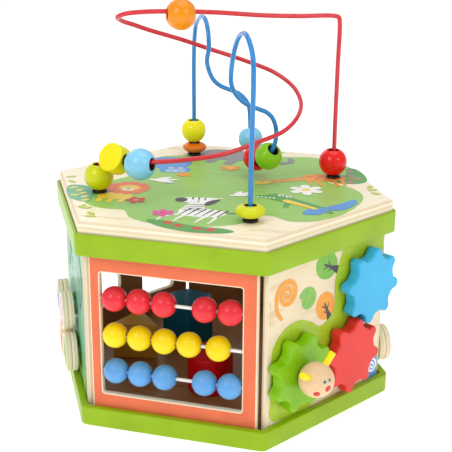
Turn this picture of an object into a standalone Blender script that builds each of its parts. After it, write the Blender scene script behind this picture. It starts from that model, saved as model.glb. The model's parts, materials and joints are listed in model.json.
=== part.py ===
# A hexagonal wooden activity centre for babies: a plywood case with a rim and a tray ring, an abacus window,
# three gears, loose discs, shape holes with their blocks, and a bead maze of two bent steel wires on top.
# Origin: centre of the underside. +Z is up, and the abacus faces -Y. All lengths are in metres.
import math

import bmesh
import bpy
from mathutils import Matrix, Vector

GAP = 0.0003  # between pieces that rest on each other

# Case
BOARD_CORNER = 0.170  # centre to corner of the top board
BOARD_TOP = 0.1968
BOARD_THICK = 0.012
BOARD_EDGE = 0.0028  # width of the rounded top edge
BOARD_FILLET = 0.003
BOARD_SLIT = 0.0005  # between the board's corners and the rim's seat
RING_CORNER = 0.1739  # centre to corner of the rim and of the tray, before rounding
RING_FILLET = 0.009
RIM_BOTTOM = 0.166
RIM_TOP = 0.1865
TRAY_TOP = 0.0183
BASE_TOP = 0.0097
PANEL_APOTHEM = 0.1435  # centre to a panel's outer face
PANEL_THICK = 0.006
PANEL_HALF = 0.078
COS30 = math.cos(math.radians(30))

# Directions that the six sides face
ABACUS_SIDE = -90
GEAR_SIDE = -30
SLOT_SIDE = 30
BACK_SIDE = 90
SORTER_SIDE = 150
DISC_SIDE = -150

# Abacus
WINDOW_HALF = 0.0657
WINDOW_LOW = 0.0323
WINDOW_HIGH = 0.1501
WINDOW_MIDDLE = -0.0018
ROD_R = 0.002
ROD_BORE = 0.0023
ROD_SINK = 0.005  # how far a rod's end goes into the frame
ROD_DEPTH = 0.003  # rod centre behind the panel's outer face
ROD_HEIGHTS = {"red": 0.1253, "yellow": 0.0900, "blue": 0.0546}
BEAD_R = 0.0115
BEAD_BORE = 0.0026
BEAD_PITCH = 0.0233
ABACUS_GROUPS = {"red": (3, 2), "yellow": (4, 1), "blue": (3, 2)}
LEFT_STOP = -0.0552  # first bead's centre
RIGHT_STOP = {"red": 0.0524, "yellow": 0.0417, "blue": 0.0522}

# Gears
GEAR_TEETH = 8
GEAR_TIP = 0.0365
GEAR_ROOT = 0.0285
GEAR_THICK = 0.012
GEAR_OUT = 0.002  # gear's back above the panel
TOOTH_SHARP = 1.5
TOOTH_NARROW = -0.3
RED_GEAR = (0.0260, 0.0588)
RED_PHASE = 10.1  # degrees from +Z, clockwise from outside
BLUE_REACH = 0.068  # centre distances of the meshing pairs
BLUE_BEARING = 20.5
GREEN_REACH = 0.0705
GREEN_BEARING = -85.5
GEAR_EDGE = 0.0015
PIN_R = 0.004
PIN_BORE = 0.0045
PIN_HEAD_R = 0.0075  # the head is behind the panel
PIN_HEAD_THICK = 0.0027
GEAR_SKIN = 0.003  # what is left of the gear in front of its bore

# Head on the green gear
HEAD_R = 0.016
HEAD_OUT = 0.028
HEAD_TURN = -13.5
PEG_R = 0.0026
PEG_SPREAD = 46.5
PEG_REACH = 0.0295
PEG_FORWARD = 10  # degrees that a peg leans out of the plane of its side

# Loose discs and the knob that slides in a slot
DISC_R = 0.019
DISC_OUT = 0.003
DISC_LAYER = 0.0055  # each of two plywood layers
DISC_EDGE = 0.001
DISC_GROOVE = 0.0006  # between the two layers
DISC_NECK = 0.004
DISC_HOLE = 0.0045
WASHER_R = 0.0095
WASHER_THICK = 0.003
WASHER_PLAY = 0.0008
DISC_PLACES = {"a": (-0.044, 0.0745), "b": (-0.004, 0.0765), "c": (0.0145, 0.0410), "d": (-0.0258, 0.0385)}
KNOB_R = 0.018
KNOB_WASHER_R = 0.0105
KNOB_PLACE = (-0.058, 0.0393)
SLOT_HALF_WIDTH = 0.005
SLOT_END = 0.058

# Holes: in the plane of their side, X to the right seen from outside and Y up
HOLE_CIRCLE = ((0.041, 0.060), 0.0235)
HOLE_SQUARE = (-0.0585, -0.0130, 0.0345, 0.0800)
HOLE_TRIANGLE = ((-0.0638, 0.102), (-0.0103, 0.102), (-0.0370, 0.1483))
HOLE_HEXAGON = ((0.040, 0.125), 0.032)
SQUARE_FILLET = 0.0045
TRIANGLE_FILLET = 0.003
HEXAGON_FILLET = 0.003
BACK_OPENING = (-0.046, 0.046, 0.056, 0.132)
BACK_FILLET = 0.012
WINDOW_FILLET = 0.002

# Blocks that lie inside
BLOCK_EDGE = 0.0012
CYLINDER_R = 0.0222
CYLINDER_LONG = 0.038
CYLINDER_PLACE = (0.0100, -0.0622)
SIX_SIDED_R = 0.030
SIX_SIDED_LONG = 0.044
SIX_SIDED_PLACE = (-0.0473, 0.0415)
SIX_SIDED_TURN = -10
THREE_SIDED_WIDE = 0.0475
THREE_SIDED_LONG = 0.038
THREE_SIDED_PLACE = (-0.0821, -0.0252)
THREE_SIDED_TURN = 12.8

# Bead maze
FERRULE_R = 0.0072
FERRULE_HEIGHT = 0.0042
FERRULE_DOME = 0.0046  # fits inside a bead that rests on the flange
FLANGE_HEIGHT = 0.0023
FLANGE_SIDE = 0.0016  # height of the flange's upright edge
FERRULE_SINK = 0.008
WIRE_R = 0.0022
WIRE_BORE = 0.0025
SOCKET_R = 0.0045
WIRE_RING = 0.117  # wire ends stand on this radius
FERRULE_BEARINGS = {"right": 30, "back": 120, "left": 210, "front": 300}
WIRE_SINK = 0.010
WIRE_STEP = 0.0105  # length of the tube's straight pieces
POST_TOP = 0.222  # the wires stand straight up to here
LEFT_POST_TOP = 0.212
MAZE_BORE = 0.0057
CROSS_BEAD_R = 0.0137
CROSS_BEAD_HALF = 0.0086
CROSS_BEAD_PLACE = (-0.0818, -0.0644, 0.2322)
CROSS_BEAD_AXIS = (-0.31, -0.83, 0.46)
CROSS_BEAD_BORE = (-0.92, 0.36, -0.08)
CROSS_BEAD_EDGE = 0.0015


def clear_scene():
    for thing in list(bpy.data.objects):
        bpy.data.objects.remove(thing, do_unlink=True)


def material(name, colour, roughness=0.3):
    made = bpy.data.materials.new(name)
    made.use_nodes = True
    shader = made.node_tree.nodes["Principled BSDF"]
    shader.inputs["Base Color"].default_value = (*colour, 1.0)
    shader.inputs["Roughness"].default_value = roughness
    shader.inputs["Metallic"].default_value = 0.0
    return made


def add(name, bm, finish, smooth=False):
    bmesh.ops.recalc_face_normals(bm, faces=bm.faces)
    mesh = bpy.data.meshes.new(name)
    bm.to_mesh(mesh)
    bm.free()
    if smooth:
        mesh.shade_smooth()
        mesh.set_sharp_from_angle(angle=math.radians(40))
    thing = bpy.data.objects.new(name, mesh)
    thing.data.materials.append(finish)
    bpy.context.scene.collection.objects.link(thing)
    return thing


def cutter(name, bm):
    made = add(name, bm, MATERIALS["plywood"])
    made.hide_render = True
    made.display_type = "WIRE"
    return made


def cut(thing, tool):
    made = thing.modifiers.new(tool.name, "BOOLEAN")
    made.operation = "DIFFERENCE"
    made.solver = "EXACT"
    made.object = tool


def join_to(thing, tool):
    tool.hide_render = True
    tool.display_type = "WIRE"
    made = thing.modifiers.new(tool.name, "BOOLEAN")
    made.operation = "UNION"
    made.solver = "EXACT"
    made.object = tool


def rounded_polygon(corners, fillet, steps):
    """Outline through anticlockwise corners, with each corner turned into an arc of the given radius."""
    outline = []
    count = len(corners)
    for i in range(count):
        corner = Vector(corners[i])
        before = (Vector(corners[i - 1]) - corner).normalized()
        after = (Vector(corners[(i + 1) % count]) - corner).normalized()
        half = before.angle(after) / 2
        centre = corner + (before + after).normalized() * fillet / math.sin(half)
        start = corner + before * fillet / math.tan(half) - centre
        turn = math.pi - 2 * half
        for k in range(steps + 1):
            outline.append(centre + Matrix.Rotation(turn * k / steps, 2) @ start)
    return outline


def hexagon(corner):
    return [
        (corner * math.cos(math.radians(60 * k)), corner * math.sin(math.radians(60 * k)))
        for k in range(6)
    ]


def circle(radius, count, centre=(0.0, 0.0), phase=0.0):
    return [
        (
            centre[0] + radius * math.cos(phase + 2 * math.pi * k / count),
            centre[1] + radius * math.sin(phase + 2 * math.pi * k / count),
        )
        for k in range(count)
    ]


def prism(outline, low, high):
    bm = bmesh.new()
    base = bm.faces.new([bm.verts.new((x, y, low)) for x, y in outline])
    raised = bmesh.ops.extrude_face_region(bm, geom=[base])
    top = [v for v in raised["geom"] if isinstance(v, bmesh.types.BMVert)]
    bmesh.ops.translate(bm, verts=top, vec=(0, 0, high - low))
    return bm


def bevel_edges(bm, keep, width, segments):
    edges = [e for e in bm.edges if keep(e)]
    bmesh.ops.bevel(bm, geom=edges, offset=width, segments=segments, profile=0.5, affect="EDGES")


def turned(profile, steps):
    """Solid of revolution about Z of a closed outline of (radius, height) points."""
    bm = bmesh.new()
    points = [bm.verts.new((r, 0, z)) for r, z in profile]
    edges = [bm.edges.new((points[i], points[(i + 1) % len(points)])) for i in range(len(points))]
    edges = [e for e in edges if max(v.co.x for v in e.verts) > 1e-6]
    bmesh.ops.delete(bm, geom=[e for e in bm.edges if e not in edges], context="EDGES")
    bmesh.ops.spin(
        bm, geom=bm.verts[:] + bm.edges[:], cent=(0, 0, 0), axis=(0, 0, 1), angle=2 * math.pi, steps=steps
    )
    bmesh.ops.remove_doubles(bm, verts=bm.verts, dist=1e-6)
    return bm


def ball_profile(radius, bore, arcs):
    reach = math.acos(bore / radius)
    return [
        (radius * math.cos(reach * (1 - 2 * k / arcs)), -radius * math.sin(reach * (1 - 2 * k / arcs)))
        for k in range(arcs + 1)
    ]


def bead_mesh(radius, bore, steps=12, arcs=6, flatten=1.0):
    return turned([(r, z * flatten) for r, z in ball_profile(radius, bore, arcs)], steps)


def face_frame(name, bearing):
    """Empty whose local X runs along a side, -Y points out of it and Z is up."""
    made = bpy.data.objects.new(name, None)
    made.rotation_euler = (0, 0, math.radians(bearing + 90))
    bpy.context.scene.collection.objects.link(made)
    return made


def on_face(thing, frame, u, out, z):
    """Places a thing on a side, with its own Z pointing out of the side."""
    thing.parent = frame
    thing.location = (u, -(PANEL_APOTHEM + out), z)
    thing.rotation_euler = (math.radians(90), 0, 0)


def build_case():
    low = BOARD_TOP - BOARD_THICK
    bm = prism(rounded_polygon(hexagon(BOARD_CORNER), BOARD_FILLET, 2), low, BOARD_TOP)
    bevel_edges(bm, lambda e: all(v.co.z > low + 1e-5 for v in e.verts), BOARD_EDGE, 2)
    board = add("top_board", bm, MATERIALS["plywood"])
    bm = bmesh.new()
    for bearing in FERRULE_BEARINGS.values():
        hole = bmesh.ops.create_cone(
            bm, cap_ends=True, segments=12, radius1=SOCKET_R, radius2=SOCKET_R, depth=3 * BOARD_THICK
        )
        bmesh.ops.translate(bm, verts=hole["verts"], vec=ring_point(bearing, BOARD_TOP))
    cut(board, cutter("board_sockets", bm))

    board_wall = BOARD_CORNER + BOARD_SLIT
    panel_wall = (PANEL_APOTHEM + GAP) / COS30
    outer = rounded_polygon(hexagon(RING_CORNER), RING_FILLET, 4)
    rim = add("top_rim", prism(outer, RIM_BOTTOM, RIM_TOP), MATERIALS["lime"])
    cut(rim, cutter("rim_seat", prism(hexagon(board_wall), low - GAP, RIM_TOP + 0.01)))
    cut(rim, cutter("rim_inside", prism(hexagon(panel_wall), RIM_BOTTOM - 0.01, low)))
    tray = add("tray_ring", prism(outer, 0, TRAY_TOP), MATERIALS["lime"])
    cut(tray, cutter("tray_inside", prism(hexagon(panel_wall), -0.01, TRAY_TOP + 0.01)))
    add("base_board", prism(hexagon(PANEL_APOTHEM / COS30), 0, BASE_TOP), MATERIALS["plywood"])


def panel(name, frame, finish):
    """A flat side panel, modelled in the plane of its side and stood up by its frame."""
    outline = [
        (-PANEL_HALF, BASE_TOP + GAP),
        (PANEL_HALF, BASE_TOP + GAP),
        (PANEL_HALF, BOARD_TOP - BOARD_THICK - GAP),
        (-PANEL_HALF, BOARD_TOP - BOARD_THICK - GAP),
    ]
    thing = add(name, prism(outline, -PANEL_THICK, 0), finish)
    on_face(thing, frame, 0, 0, 0)
    return thing


def hole_in(thing, frame, name, outline):
    tool = cutter(name, prism(outline, -2 * PANEL_THICK, PANEL_THICK))
    on_face(tool, frame, 0, 0, 0)
    cut(thing, tool)


def rectangle(x0, x1, y0, y1):
    return [(x0, y0), (x1, y0), (x1, y1), (x0, y1)]


def build_abacus():
    frame = face_frame("abacus_side", ABACUS_SIDE)
    wall = panel("abacus_panel", frame, MATERIALS["coral"])
    left, right = WINDOW_MIDDLE - WINDOW_HALF, WINDOW_MIDDLE + WINDOW_HALF
    window = rounded_polygon(rectangle(left, right, WINDOW_LOW, WINDOW_HIGH), WINDOW_FILLET, 2)
    hole_in(wall, frame, "abacus_window", window)
    for colour, height in ROD_HEIGHTS.items():
        reach = WINDOW_HALF + ROD_SINK
        tool = cutter(f"abacus_{colour}_bore", prism(circle(ROD_BORE, 10), -reach, reach))
        bm = prism(circle(ROD_R, 10), GAP - reach, reach - GAP)
        rod = add(f"abacus_{colour}_rod", bm, MATERIALS["white"], smooth=True)
        for thing in (tool, rod):
            on_face(thing, frame, WINDOW_MIDDLE, -ROD_DEPTH, height)
            thing.rotation_euler = (0, math.radians(90), 0)
        cut(wall, tool)

        left_count, right_count = ABACUS_GROUPS[colour]
        places = [LEFT_STOP + BEAD_PITCH * k for k in range(left_count)]
        places += [RIGHT_STOP[colour] - BEAD_PITCH * k for k in reversed(range(right_count))]
        for number, u in enumerate(places, 1):
            ball = bead_mesh(BEAD_R, BEAD_BORE)
            bead = add(f"abacus_{colour}_bead_{number}", ball, MATERIALS[colour], smooth=True)
            on_face(bead, frame, u, -ROD_DEPTH, height)
            bead.rotation_euler = (0, math.radians(90), 0)


def gear_outline():
    low = math.tanh(TOOTH_SHARP * (TOOTH_NARROW - 1))
    high = math.tanh(TOOTH_SHARP * (TOOTH_NARROW + 1))
    outline = []
    count = 10 * GEAR_TEETH
    for k in range(count):
        angle = 2 * math.pi * k / count
        rise = (math.tanh(TOOTH_SHARP * (TOOTH_NARROW + math.cos(GEAR_TEETH * angle))) - low) / (high - low)
        radius = GEAR_ROOT + (GEAR_TIP - GEAR_ROOT) * rise
        outline.append((radius * math.cos(angle), radius * math.sin(angle)))
    return outline


def gear_places():
    """Centre and tooth bearing of each gear; a follower's teeth fill the red gear's gaps."""
    pitch = 360 / GEAR_TEETH
    places = {"red": (RED_GEAR, RED_PHASE)}
    for name, reach, bearing in (("blue", BLUE_REACH, BLUE_BEARING), ("green", GREEN_REACH, GREEN_BEARING)):
        along = (math.sin(math.radians(bearing)), math.cos(math.radians(bearing)))
        centre = (RED_GEAR[0] + reach * along[0], RED_GEAR[1] + reach * along[1])
        phase = (2 * bearing + 180 - RED_PHASE + pitch / 2) % pitch
        places[name] = (centre, phase)
    return places


def build_gears():
    frame = face_frame("gear_side", GEAR_SIDE)
    wall = panel("gear_panel", frame, MATERIALS["plywood"])
    for name, (centre, phase) in gear_places().items():
        hole_in(wall, frame, f"{name}_pin_socket", circle(PIN_R + GAP, 12, centre))
        bm = prism(gear_outline(), 0, GEAR_THICK)
        bevel_edges(bm, lambda e: all(v.co.z > GEAR_THICK - 1e-5 for v in e.verts), GEAR_EDGE, 1)
        gear = add(f"{name}_gear", bm, MATERIALS[f"{name}_gear"])
        on_face(gear, frame, centre[0], GEAR_OUT, centre[1])
        gear.rotation_euler = (math.radians(90), math.radians(phase - 90), 0)
        bore = cutter(f"{name}_gear_bore", prism(circle(PIN_BORE, 16), -GEAR_OUT, GEAR_THICK - GEAR_SKIN))
        on_face(bore, frame, centre[0], GEAR_OUT, centre[1])
        cut(gear, bore)
        # The pin is a mushroom: its head is behind the panel and its shaft ends inside the gear.
        shaft_end = GEAR_OUT + GEAR_THICK - GEAR_SKIN - GAP
        behind = -PANEL_THICK - GAP
        profile = [
            (0, behind - PIN_HEAD_THICK),
            (PIN_HEAD_R, behind - PIN_HEAD_THICK),
            (PIN_HEAD_R, behind),
            (PIN_R, behind),
            (PIN_R, shaft_end),
            (0, shaft_end),
        ]
        pin = add(f"{name}_gear_pin", turned(profile, 16), MATERIALS["beech"], smooth=True)
        on_face(pin, frame, centre[0], 0, centre[1])
    build_head(frame, gear_places()["green"][0])


def build_head(frame, centre):
    """Ball with a flat base on the gear, and two pegs that splay from its top."""
    flat = HEAD_OUT - GEAR_OUT - GEAR_THICK - GAP
    start = math.asin(-flat / HEAD_R)
    arcs = 8
    profile = [(0, -flat)]
    for k in range(arcs + 1):
        angle = start + (math.pi / 2 - start) * k / arcs
        profile.append((HEAD_R * math.cos(angle), HEAD_R * math.sin(angle)))
    profile[-1] = (0, HEAD_R)
    head = add("animal_head", turned(profile, 18), MATERIALS["beech"], smooth=True)
    on_face(head, frame, centre[0], HEAD_OUT, centre[1])
    for side, sign in (("left", -1), ("right", 1)):
        tool = add(f"{side}_peg", prism(circle(PEG_R, 10), HEAD_R / 2, PEG_REACH), MATERIALS["yellow"])
        on_face(tool, frame, centre[0], HEAD_OUT, centre[1])
        lean = math.radians(HEAD_TURN + sign * PEG_SPREAD)
        forward = math.radians(PEG_FORWARD)
        tool.rotation_euler = (Matrix.Rotation(lean, 3, "Y") @ Matrix.Rotation(forward, 3, "X")).to_euler()
        join_to(head, tool)


def disc_profile(radius, neck, washer):
    """Two plywood layers outside the panel, a neck through it and a washer behind it."""
    front = DISC_OUT + 2 * DISC_LAYER
    middle = DISC_OUT + DISC_LAYER
    behind = -PANEL_THICK - WASHER_PLAY
    return [
        (0, behind - WASHER_THICK),
        (washer, behind - WASHER_THICK),
        (washer, behind),
        (neck, behind),
        (neck, DISC_OUT),
        (radius - DISC_EDGE, DISC_OUT),
        (radius, DISC_OUT + DISC_EDGE),
        (radius, middle - DISC_GROOVE),
        (radius - DISC_GROOVE, middle),
        (radius, middle + DISC_GROOVE),
        (radius, front - DISC_EDGE),
        (radius - DISC_EDGE, front),
        (0, front),
    ]


def build_discs():
    frame = face_frame("disc_side", DISC_SIDE)
    wall = panel("disc_panel", frame, MATERIALS["teal"])
    for letter, centre in DISC_PLACES.items():
        hole_in(wall, frame, f"disc_{letter}_hole", circle(DISC_HOLE, 12, centre))
        profile = disc_profile(DISC_R, DISC_NECK, WASHER_R)
        disc = add(f"loose_disc_{letter}", turned(profile, 20), MATERIALS["plywood"], smooth=True)
        on_face(disc, frame, centre[0], 0, centre[1])


def build_slot():
    frame = face_frame("slot_side", SLOT_SIDE)
    wall = panel("slot_panel", frame, MATERIALS["plywood"])
    reach = SLOT_END + SLOT_HALF_WIDTH
    z = KNOB_PLACE[1]
    corners = rectangle(-reach, reach, z - SLOT_HALF_WIDTH, z + SLOT_HALF_WIDTH)
    hole_in(wall, frame, "knob_slot", rounded_polygon(corners, SLOT_HALF_WIDTH - 1e-5, 6))
    profile = disc_profile(KNOB_R, SLOT_HALF_WIDTH - GAP, KNOB_WASHER_R)
    knob = add("slot_knob", turned(profile, 20), MATERIALS["plywood"], smooth=True)
    on_face(knob, frame, KNOB_PLACE[0], 0, z)


def build_sorter():
    frame = face_frame("sorter_side", SORTER_SIDE)
    wall = panel("sorter_panel", frame, MATERIALS["plywood"])
    hole_in(wall, frame, "circle_hole", circle(HOLE_CIRCLE[1], 24, HOLE_CIRCLE[0]))
    square = rounded_polygon(rectangle(*HOLE_SQUARE), SQUARE_FILLET, 3)
    hole_in(wall, frame, "square_hole", square)
    triangle = rounded_polygon(HOLE_TRIANGLE, TRIANGLE_FILLET, 3)
    hole_in(wall, frame, "triangle_hole", triangle)
    hexagonal = rounded_polygon(circle(HOLE_HEXAGON[1], 6, HOLE_HEXAGON[0]), HEXAGON_FILLET, 2)
    hole_in(wall, frame, "hexagon_hole", hexagonal)
    frame = face_frame("back_side", BACK_SIDE)
    wall = panel("back_panel", frame, MATERIALS["plywood"])
    hole_in(wall, frame, "back_opening", rounded_polygon(rectangle(*BACK_OPENING), BACK_FILLET, 4))


def soften(bm):
    """Bevels a block's sharp edges."""
    sharp = math.radians(60)
    edges = [e for e in bm.edges if len(e.link_faces) == 2 and e.calc_face_angle() > sharp]
    bmesh.ops.bevel(bm, geom=edges, offset=BLOCK_EDGE, segments=1, affect="EDGES")
    return bm


def build_blocks():
    floor = BASE_TOP + GAP
    bm = soften(prism(circle(CYLINDER_R, 24), 0, CYLINDER_LONG))
    block = add("block_cylinder", bm, MATERIALS["red"], smooth=True)
    block.location = (*CYLINDER_PLACE, floor)
    bm = soften(prism(circle(SIX_SIDED_R, 6), 0, SIX_SIDED_LONG))
    block = add("block_hexagon", bm, MATERIALS["deep_blue"])
    block.location = (*SIX_SIDED_PLACE, floor)
    block.rotation_euler = (0, 0, math.radians(SIX_SIDED_TURN))
    half = THREE_SIDED_WIDE / 2
    triangle = [(-half, 0), (half, 0), (0, THREE_SIDED_WIDE * COS30)]
    bm = soften(prism(triangle, 0, THREE_SIDED_LONG))
    block = add("block_triangle", bm, MATERIALS["amber"])
    block.location = (*THREE_SIDED_PLACE, floor)
    block.rotation_euler = (0, 0, math.radians(THREE_SIDED_TURN))


def ring_point(bearing, z):
    angle = math.radians(bearing)
    return (WIRE_RING * math.cos(angle), WIRE_RING * math.sin(angle), z)


# Routes of the two wires, between their ends: chosen points in metres.
RED_ROUTE = [
    (0.1012, 0.0585, 0.250),
    (0.1015, 0.0588, 0.310),
    (0.1018, 0.0589, 0.3500),
    (0.1008, 0.0583, 0.3550),
    (0.0965, 0.0556, 0.3566),
    (0.0677, 0.0368, 0.3575),
    (0.0377, 0.0172, 0.3593),
    (-0.0050, -0.0085, 0.3635),
    (-0.0443, -0.0267, 0.3649),
    (-0.0661, -0.0335, 0.3641),
    (-0.0800, -0.0358, 0.3622),
    (-0.0895, -0.0310, 0.3580),
    (-0.0889, -0.0179, 0.3526),
    (-0.0840, -0.0058, 0.3484),
    (-0.0754, 0.0108, 0.3418),
    (-0.0517, 0.0441, 0.3284),
    (-0.0299, 0.0659, 0.3171),
    (0.0005, 0.0834, 0.3047),
    (0.0316, 0.0876, 0.2933),
    (0.0535, 0.0790, 0.2815),
    (0.0656, 0.0610, 0.2703),
    (0.0682, 0.0371, 0.2612),
    (0.0615, 0.0101, 0.2526),
    (0.0422, -0.0230, 0.2471),
    (0.0182, -0.0484, 0.2408),
    (-0.0110, -0.0660, 0.2376),
    (-0.0414, -0.0745, 0.2352),
    (-0.0560, -0.0735, 0.2340),
    (-0.0700, -0.0690, 0.2325),
    (-0.0820, -0.0640, 0.2318),
    (-0.0930, -0.0605, 0.2298),
    (-0.0998, -0.0588, 0.2235),
]
BLUE_ROUTE = [
    (-0.0585, 0.1013, 0.240),
    (-0.0585, 0.1013, 0.300),
    (-0.0570, 0.0990, 0.322),
    (-0.0535, 0.0927, 0.3355),
    (-0.0456, 0.0789, 0.3450),
    (-0.0370, 0.0640, 0.3492),
    (-0.0295, 0.0510, 0.3465),
    (-0.0245, 0.0425, 0.3360),
    (-0.0230, 0.0395, 0.3225),
    (-0.0250, 0.0400, 0.3080),
    (-0.0199, 0.0420, 0.2922),
    (-0.0128, 0.0440, 0.2852),
    (-0.0036, 0.0460, 0.2814),
    (0.0060, 0.0490, 0.2770),
    (0.0140, 0.0520, 0.2668),
    (0.0158, 0.0540, 0.2500),
    (0.0162, 0.0548, 0.2320),
    (0.0200, 0.0490, 0.2205),
    (0.0278, 0.0370, 0.2153),
    (0.0360, 0.0265, 0.2165),
    (0.0425, 0.0195, 0.2215),
    (0.0475, 0.0160, 0.2300),
    (0.0513, 0.0150, 0.2386),
    (0.0525, 0.0140, 0.2507),
    (0.0499, 0.0110, 0.2629),
    (0.0451, 0.0060, 0.2699),
    (0.0400, -0.0010, 0.2739),
    (0.0329, -0.0110, 0.2789),
    (0.0276, -0.0200, 0.2851),
    (0.0233, -0.0290, 0.2940),
    (0.0218, -0.0360, 0.3035),
    (0.0225, -0.0400, 0.3125),
    (0.0263, -0.0460, 0.3315),
    (0.0350, -0.0610, 0.3490),
    (0.0440, -0.0760, 0.3557),
    (0.0520, -0.0905, 0.3530),
    (0.0585, -0.1000, 0.3400),
    (0.0600, -0.1025, 0.3200),
    (0.0595, -0.1020, 0.290),
    (0.0587, -0.1013, 0.250),
]


def smooth_route(points):
    """Centripetal Catmull-Rom curve through the points, sampled about every WIRE_STEP."""
    points = [Vector(p) for p in points]
    ends = [2 * points[0] - points[1]] + points + [2 * points[-1] - points[-2]]
    route = [points[0]]
    for p0, p1, p2, p3 in zip(ends, ends[1:], ends[2:], ends[3:]):
        t1 = (p1 - p0).length ** 0.5
        t2 = t1 + (p2 - p1).length ** 0.5
        t3 = t2 + (p3 - p2).length ** 0.5
        count = max(1, round((p2 - p1).length / WIRE_STEP))
        for k in range(1, count + 1):
            t = t1 + (t2 - t1) * k / count
            a1 = p0 * (t1 - t) / t1 + p1 * t / t1
            a2 = p1 * (t2 - t) / (t2 - t1) + p2 * (t - t1) / (t2 - t1)
            a3 = p2 * (t3 - t) / (t3 - t2) + p3 * (t - t2) / (t3 - t2)
            b1 = a1 * (t2 - t) / t2 + a2 * t / t2
            b2 = a2 * (t3 - t) / (t3 - t1) + a3 * (t - t1) / (t3 - t1)
            route.append(b1 * (t2 - t) / (t2 - t1) + b2 * (t - t1) / (t2 - t1))
    return route


def build_wire(name, route, finish):
    curve = bpy.data.curves.new(name, "CURVE")
    curve.dimensions = "3D"
    curve.bevel_depth = WIRE_R
    curve.bevel_resolution = 2
    curve.use_fill_caps = True
    line = curve.splines.new("POLY")
    line.points.add(len(route) - 1)
    for point, place in zip(line.points, route):
        point.co = (*place, 1)
    curve.materials.append(finish)
    thing = bpy.data.objects.new(name, curve)
    bpy.context.scene.collection.objects.link(thing)


# Beads on the wires: name, colour, radius, centre, direction of its bore, length against its width
RED_BEADS = [
    ("maze_red_bead", "red", 0.0140, (0.1005, 0.0580, 0.2130), (0, 0, 1), 1.0),
    ("maze_orange_bead", "orange", 0.0150, (-0.0311, -0.0210, 0.3619), (-0.886, -0.461, 0.047), 1.0),
    ("maze_sky_bead_left", "sky", 0.0148, (-0.0535, -0.0743, 0.2320), (-0.985, 0.15, -0.10), 1.0),
    ("maze_lemon_ball", "lime_yellow", 0.0138, (-0.1014, -0.0584, 0.2125), (0.06, -0.02, 1), 1.0),
]
BLUE_BEADS = [
    ("maze_orange_disc", "deep_orange", 0.0128, (-0.0580, 0.1013, 0.2055), (0, 0, 1), 0.46),
    ("maze_yellow_ball", "yellow", 0.0132, (-0.0590, 0.1013, 0.2237), (0, 0, 1), 1.0),
    ("maze_sky_bead_dip", "sky", 0.0122, (0.0164, 0.0547, 0.2310), (0.17, -0.26, -0.95), 1.0),
    ("maze_red_bead_dip", "red", 0.0130, (0.0270, 0.0370, 0.2165), (0.62, -0.78, -0.10), 1.0),
    ("maze_green_bead", "green", 0.0133, (0.0442, 0.0183, 0.2242), (0.55, -0.42, 0.72), 1.0),
    ("maze_lime_ring", "lime_yellow", 0.0135, (0.0585, -0.1013, 0.2064), (0, 0, 1), 0.5),
]


def build_maze():
    for label, bearing in FERRULE_BEARINGS.items():
        low = BOARD_TOP + GAP
        neck = SOCKET_R - GAP
        profile = [
            (WIRE_BORE, low - FERRULE_SINK),
            (neck, low - FERRULE_SINK),
            (neck, low),
            (FERRULE_R, low),
            (FERRULE_R, low + FLANGE_SIDE),
            (0.9 * FERRULE_R, low + FLANGE_HEIGHT),
            (FERRULE_DOME, low + FLANGE_HEIGHT),
            (0.9 * FERRULE_DOME, low + FERRULE_HEIGHT),
            (WIRE_BORE, low + FERRULE_HEIGHT),
        ]
        ferrule = add(f"{label}_ferrule", turned(profile, 16), MATERIALS["black"], smooth=True)
        ferrule.location = ring_point(bearing, 0)
    foot = BOARD_TOP - WIRE_SINK
    at = FERRULE_BEARINGS
    red = [ring_point(at["right"], foot), ring_point(at["right"], POST_TOP)] + RED_ROUTE
    red += [ring_point(at["left"], LEFT_POST_TOP), ring_point(at["left"], foot)]
    build_wire("maze_red_wire", smooth_route(red), MATERIALS["red_wire"])
    blue = [ring_point(at["back"], foot), ring_point(at["back"], POST_TOP)] + BLUE_ROUTE
    blue += [ring_point(at["front"], POST_TOP), ring_point(at["front"], foot)]
    build_wire("maze_blue_wire", smooth_route(blue), MATERIALS["blue_wire"])

    for name, colour, radius, centre, direction, flatten in RED_BEADS + BLUE_BEADS:
        bead = add(name, bead_mesh(radius, MAZE_BORE, 14, 6, flatten), MATERIALS[colour], smooth=True)
        bead.location = centre
        bead.rotation_euler = Vector(direction).to_track_quat("Z", "Y").to_euler()
    build_cross_drilled_bead()


def build_cross_drilled_bead():
    """Short thick disc with its bore across it."""
    bm = prism(circle(CROSS_BEAD_R, 24), -CROSS_BEAD_HALF, CROSS_BEAD_HALF)
    bevel_edges(bm, lambda e: abs(e.verts[0].co.z - e.verts[1].co.z) < 1e-6, CROSS_BEAD_EDGE, 1)
    bead = add("maze_yellow_disc", bm, MATERIALS["yellow"], smooth=True)
    bore = cutter("yellow_disc_bore", prism(circle(MAZE_BORE, 14), -2 * CROSS_BEAD_R, 2 * CROSS_BEAD_R))
    axis = Vector(CROSS_BEAD_AXIS).normalized()
    along = Vector(CROSS_BEAD_BORE)
    along = (along - axis * along.dot(axis)).normalized()
    bead.location = CROSS_BEAD_PLACE
    bead.rotation_euler = axis.to_track_quat("Z", "Y").to_euler()
    bore.location = CROSS_BEAD_PLACE
    bore.rotation_euler = along.to_track_quat("Z", "Y").to_euler()
    cut(bead, bore)


MATERIALS = {}


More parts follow.
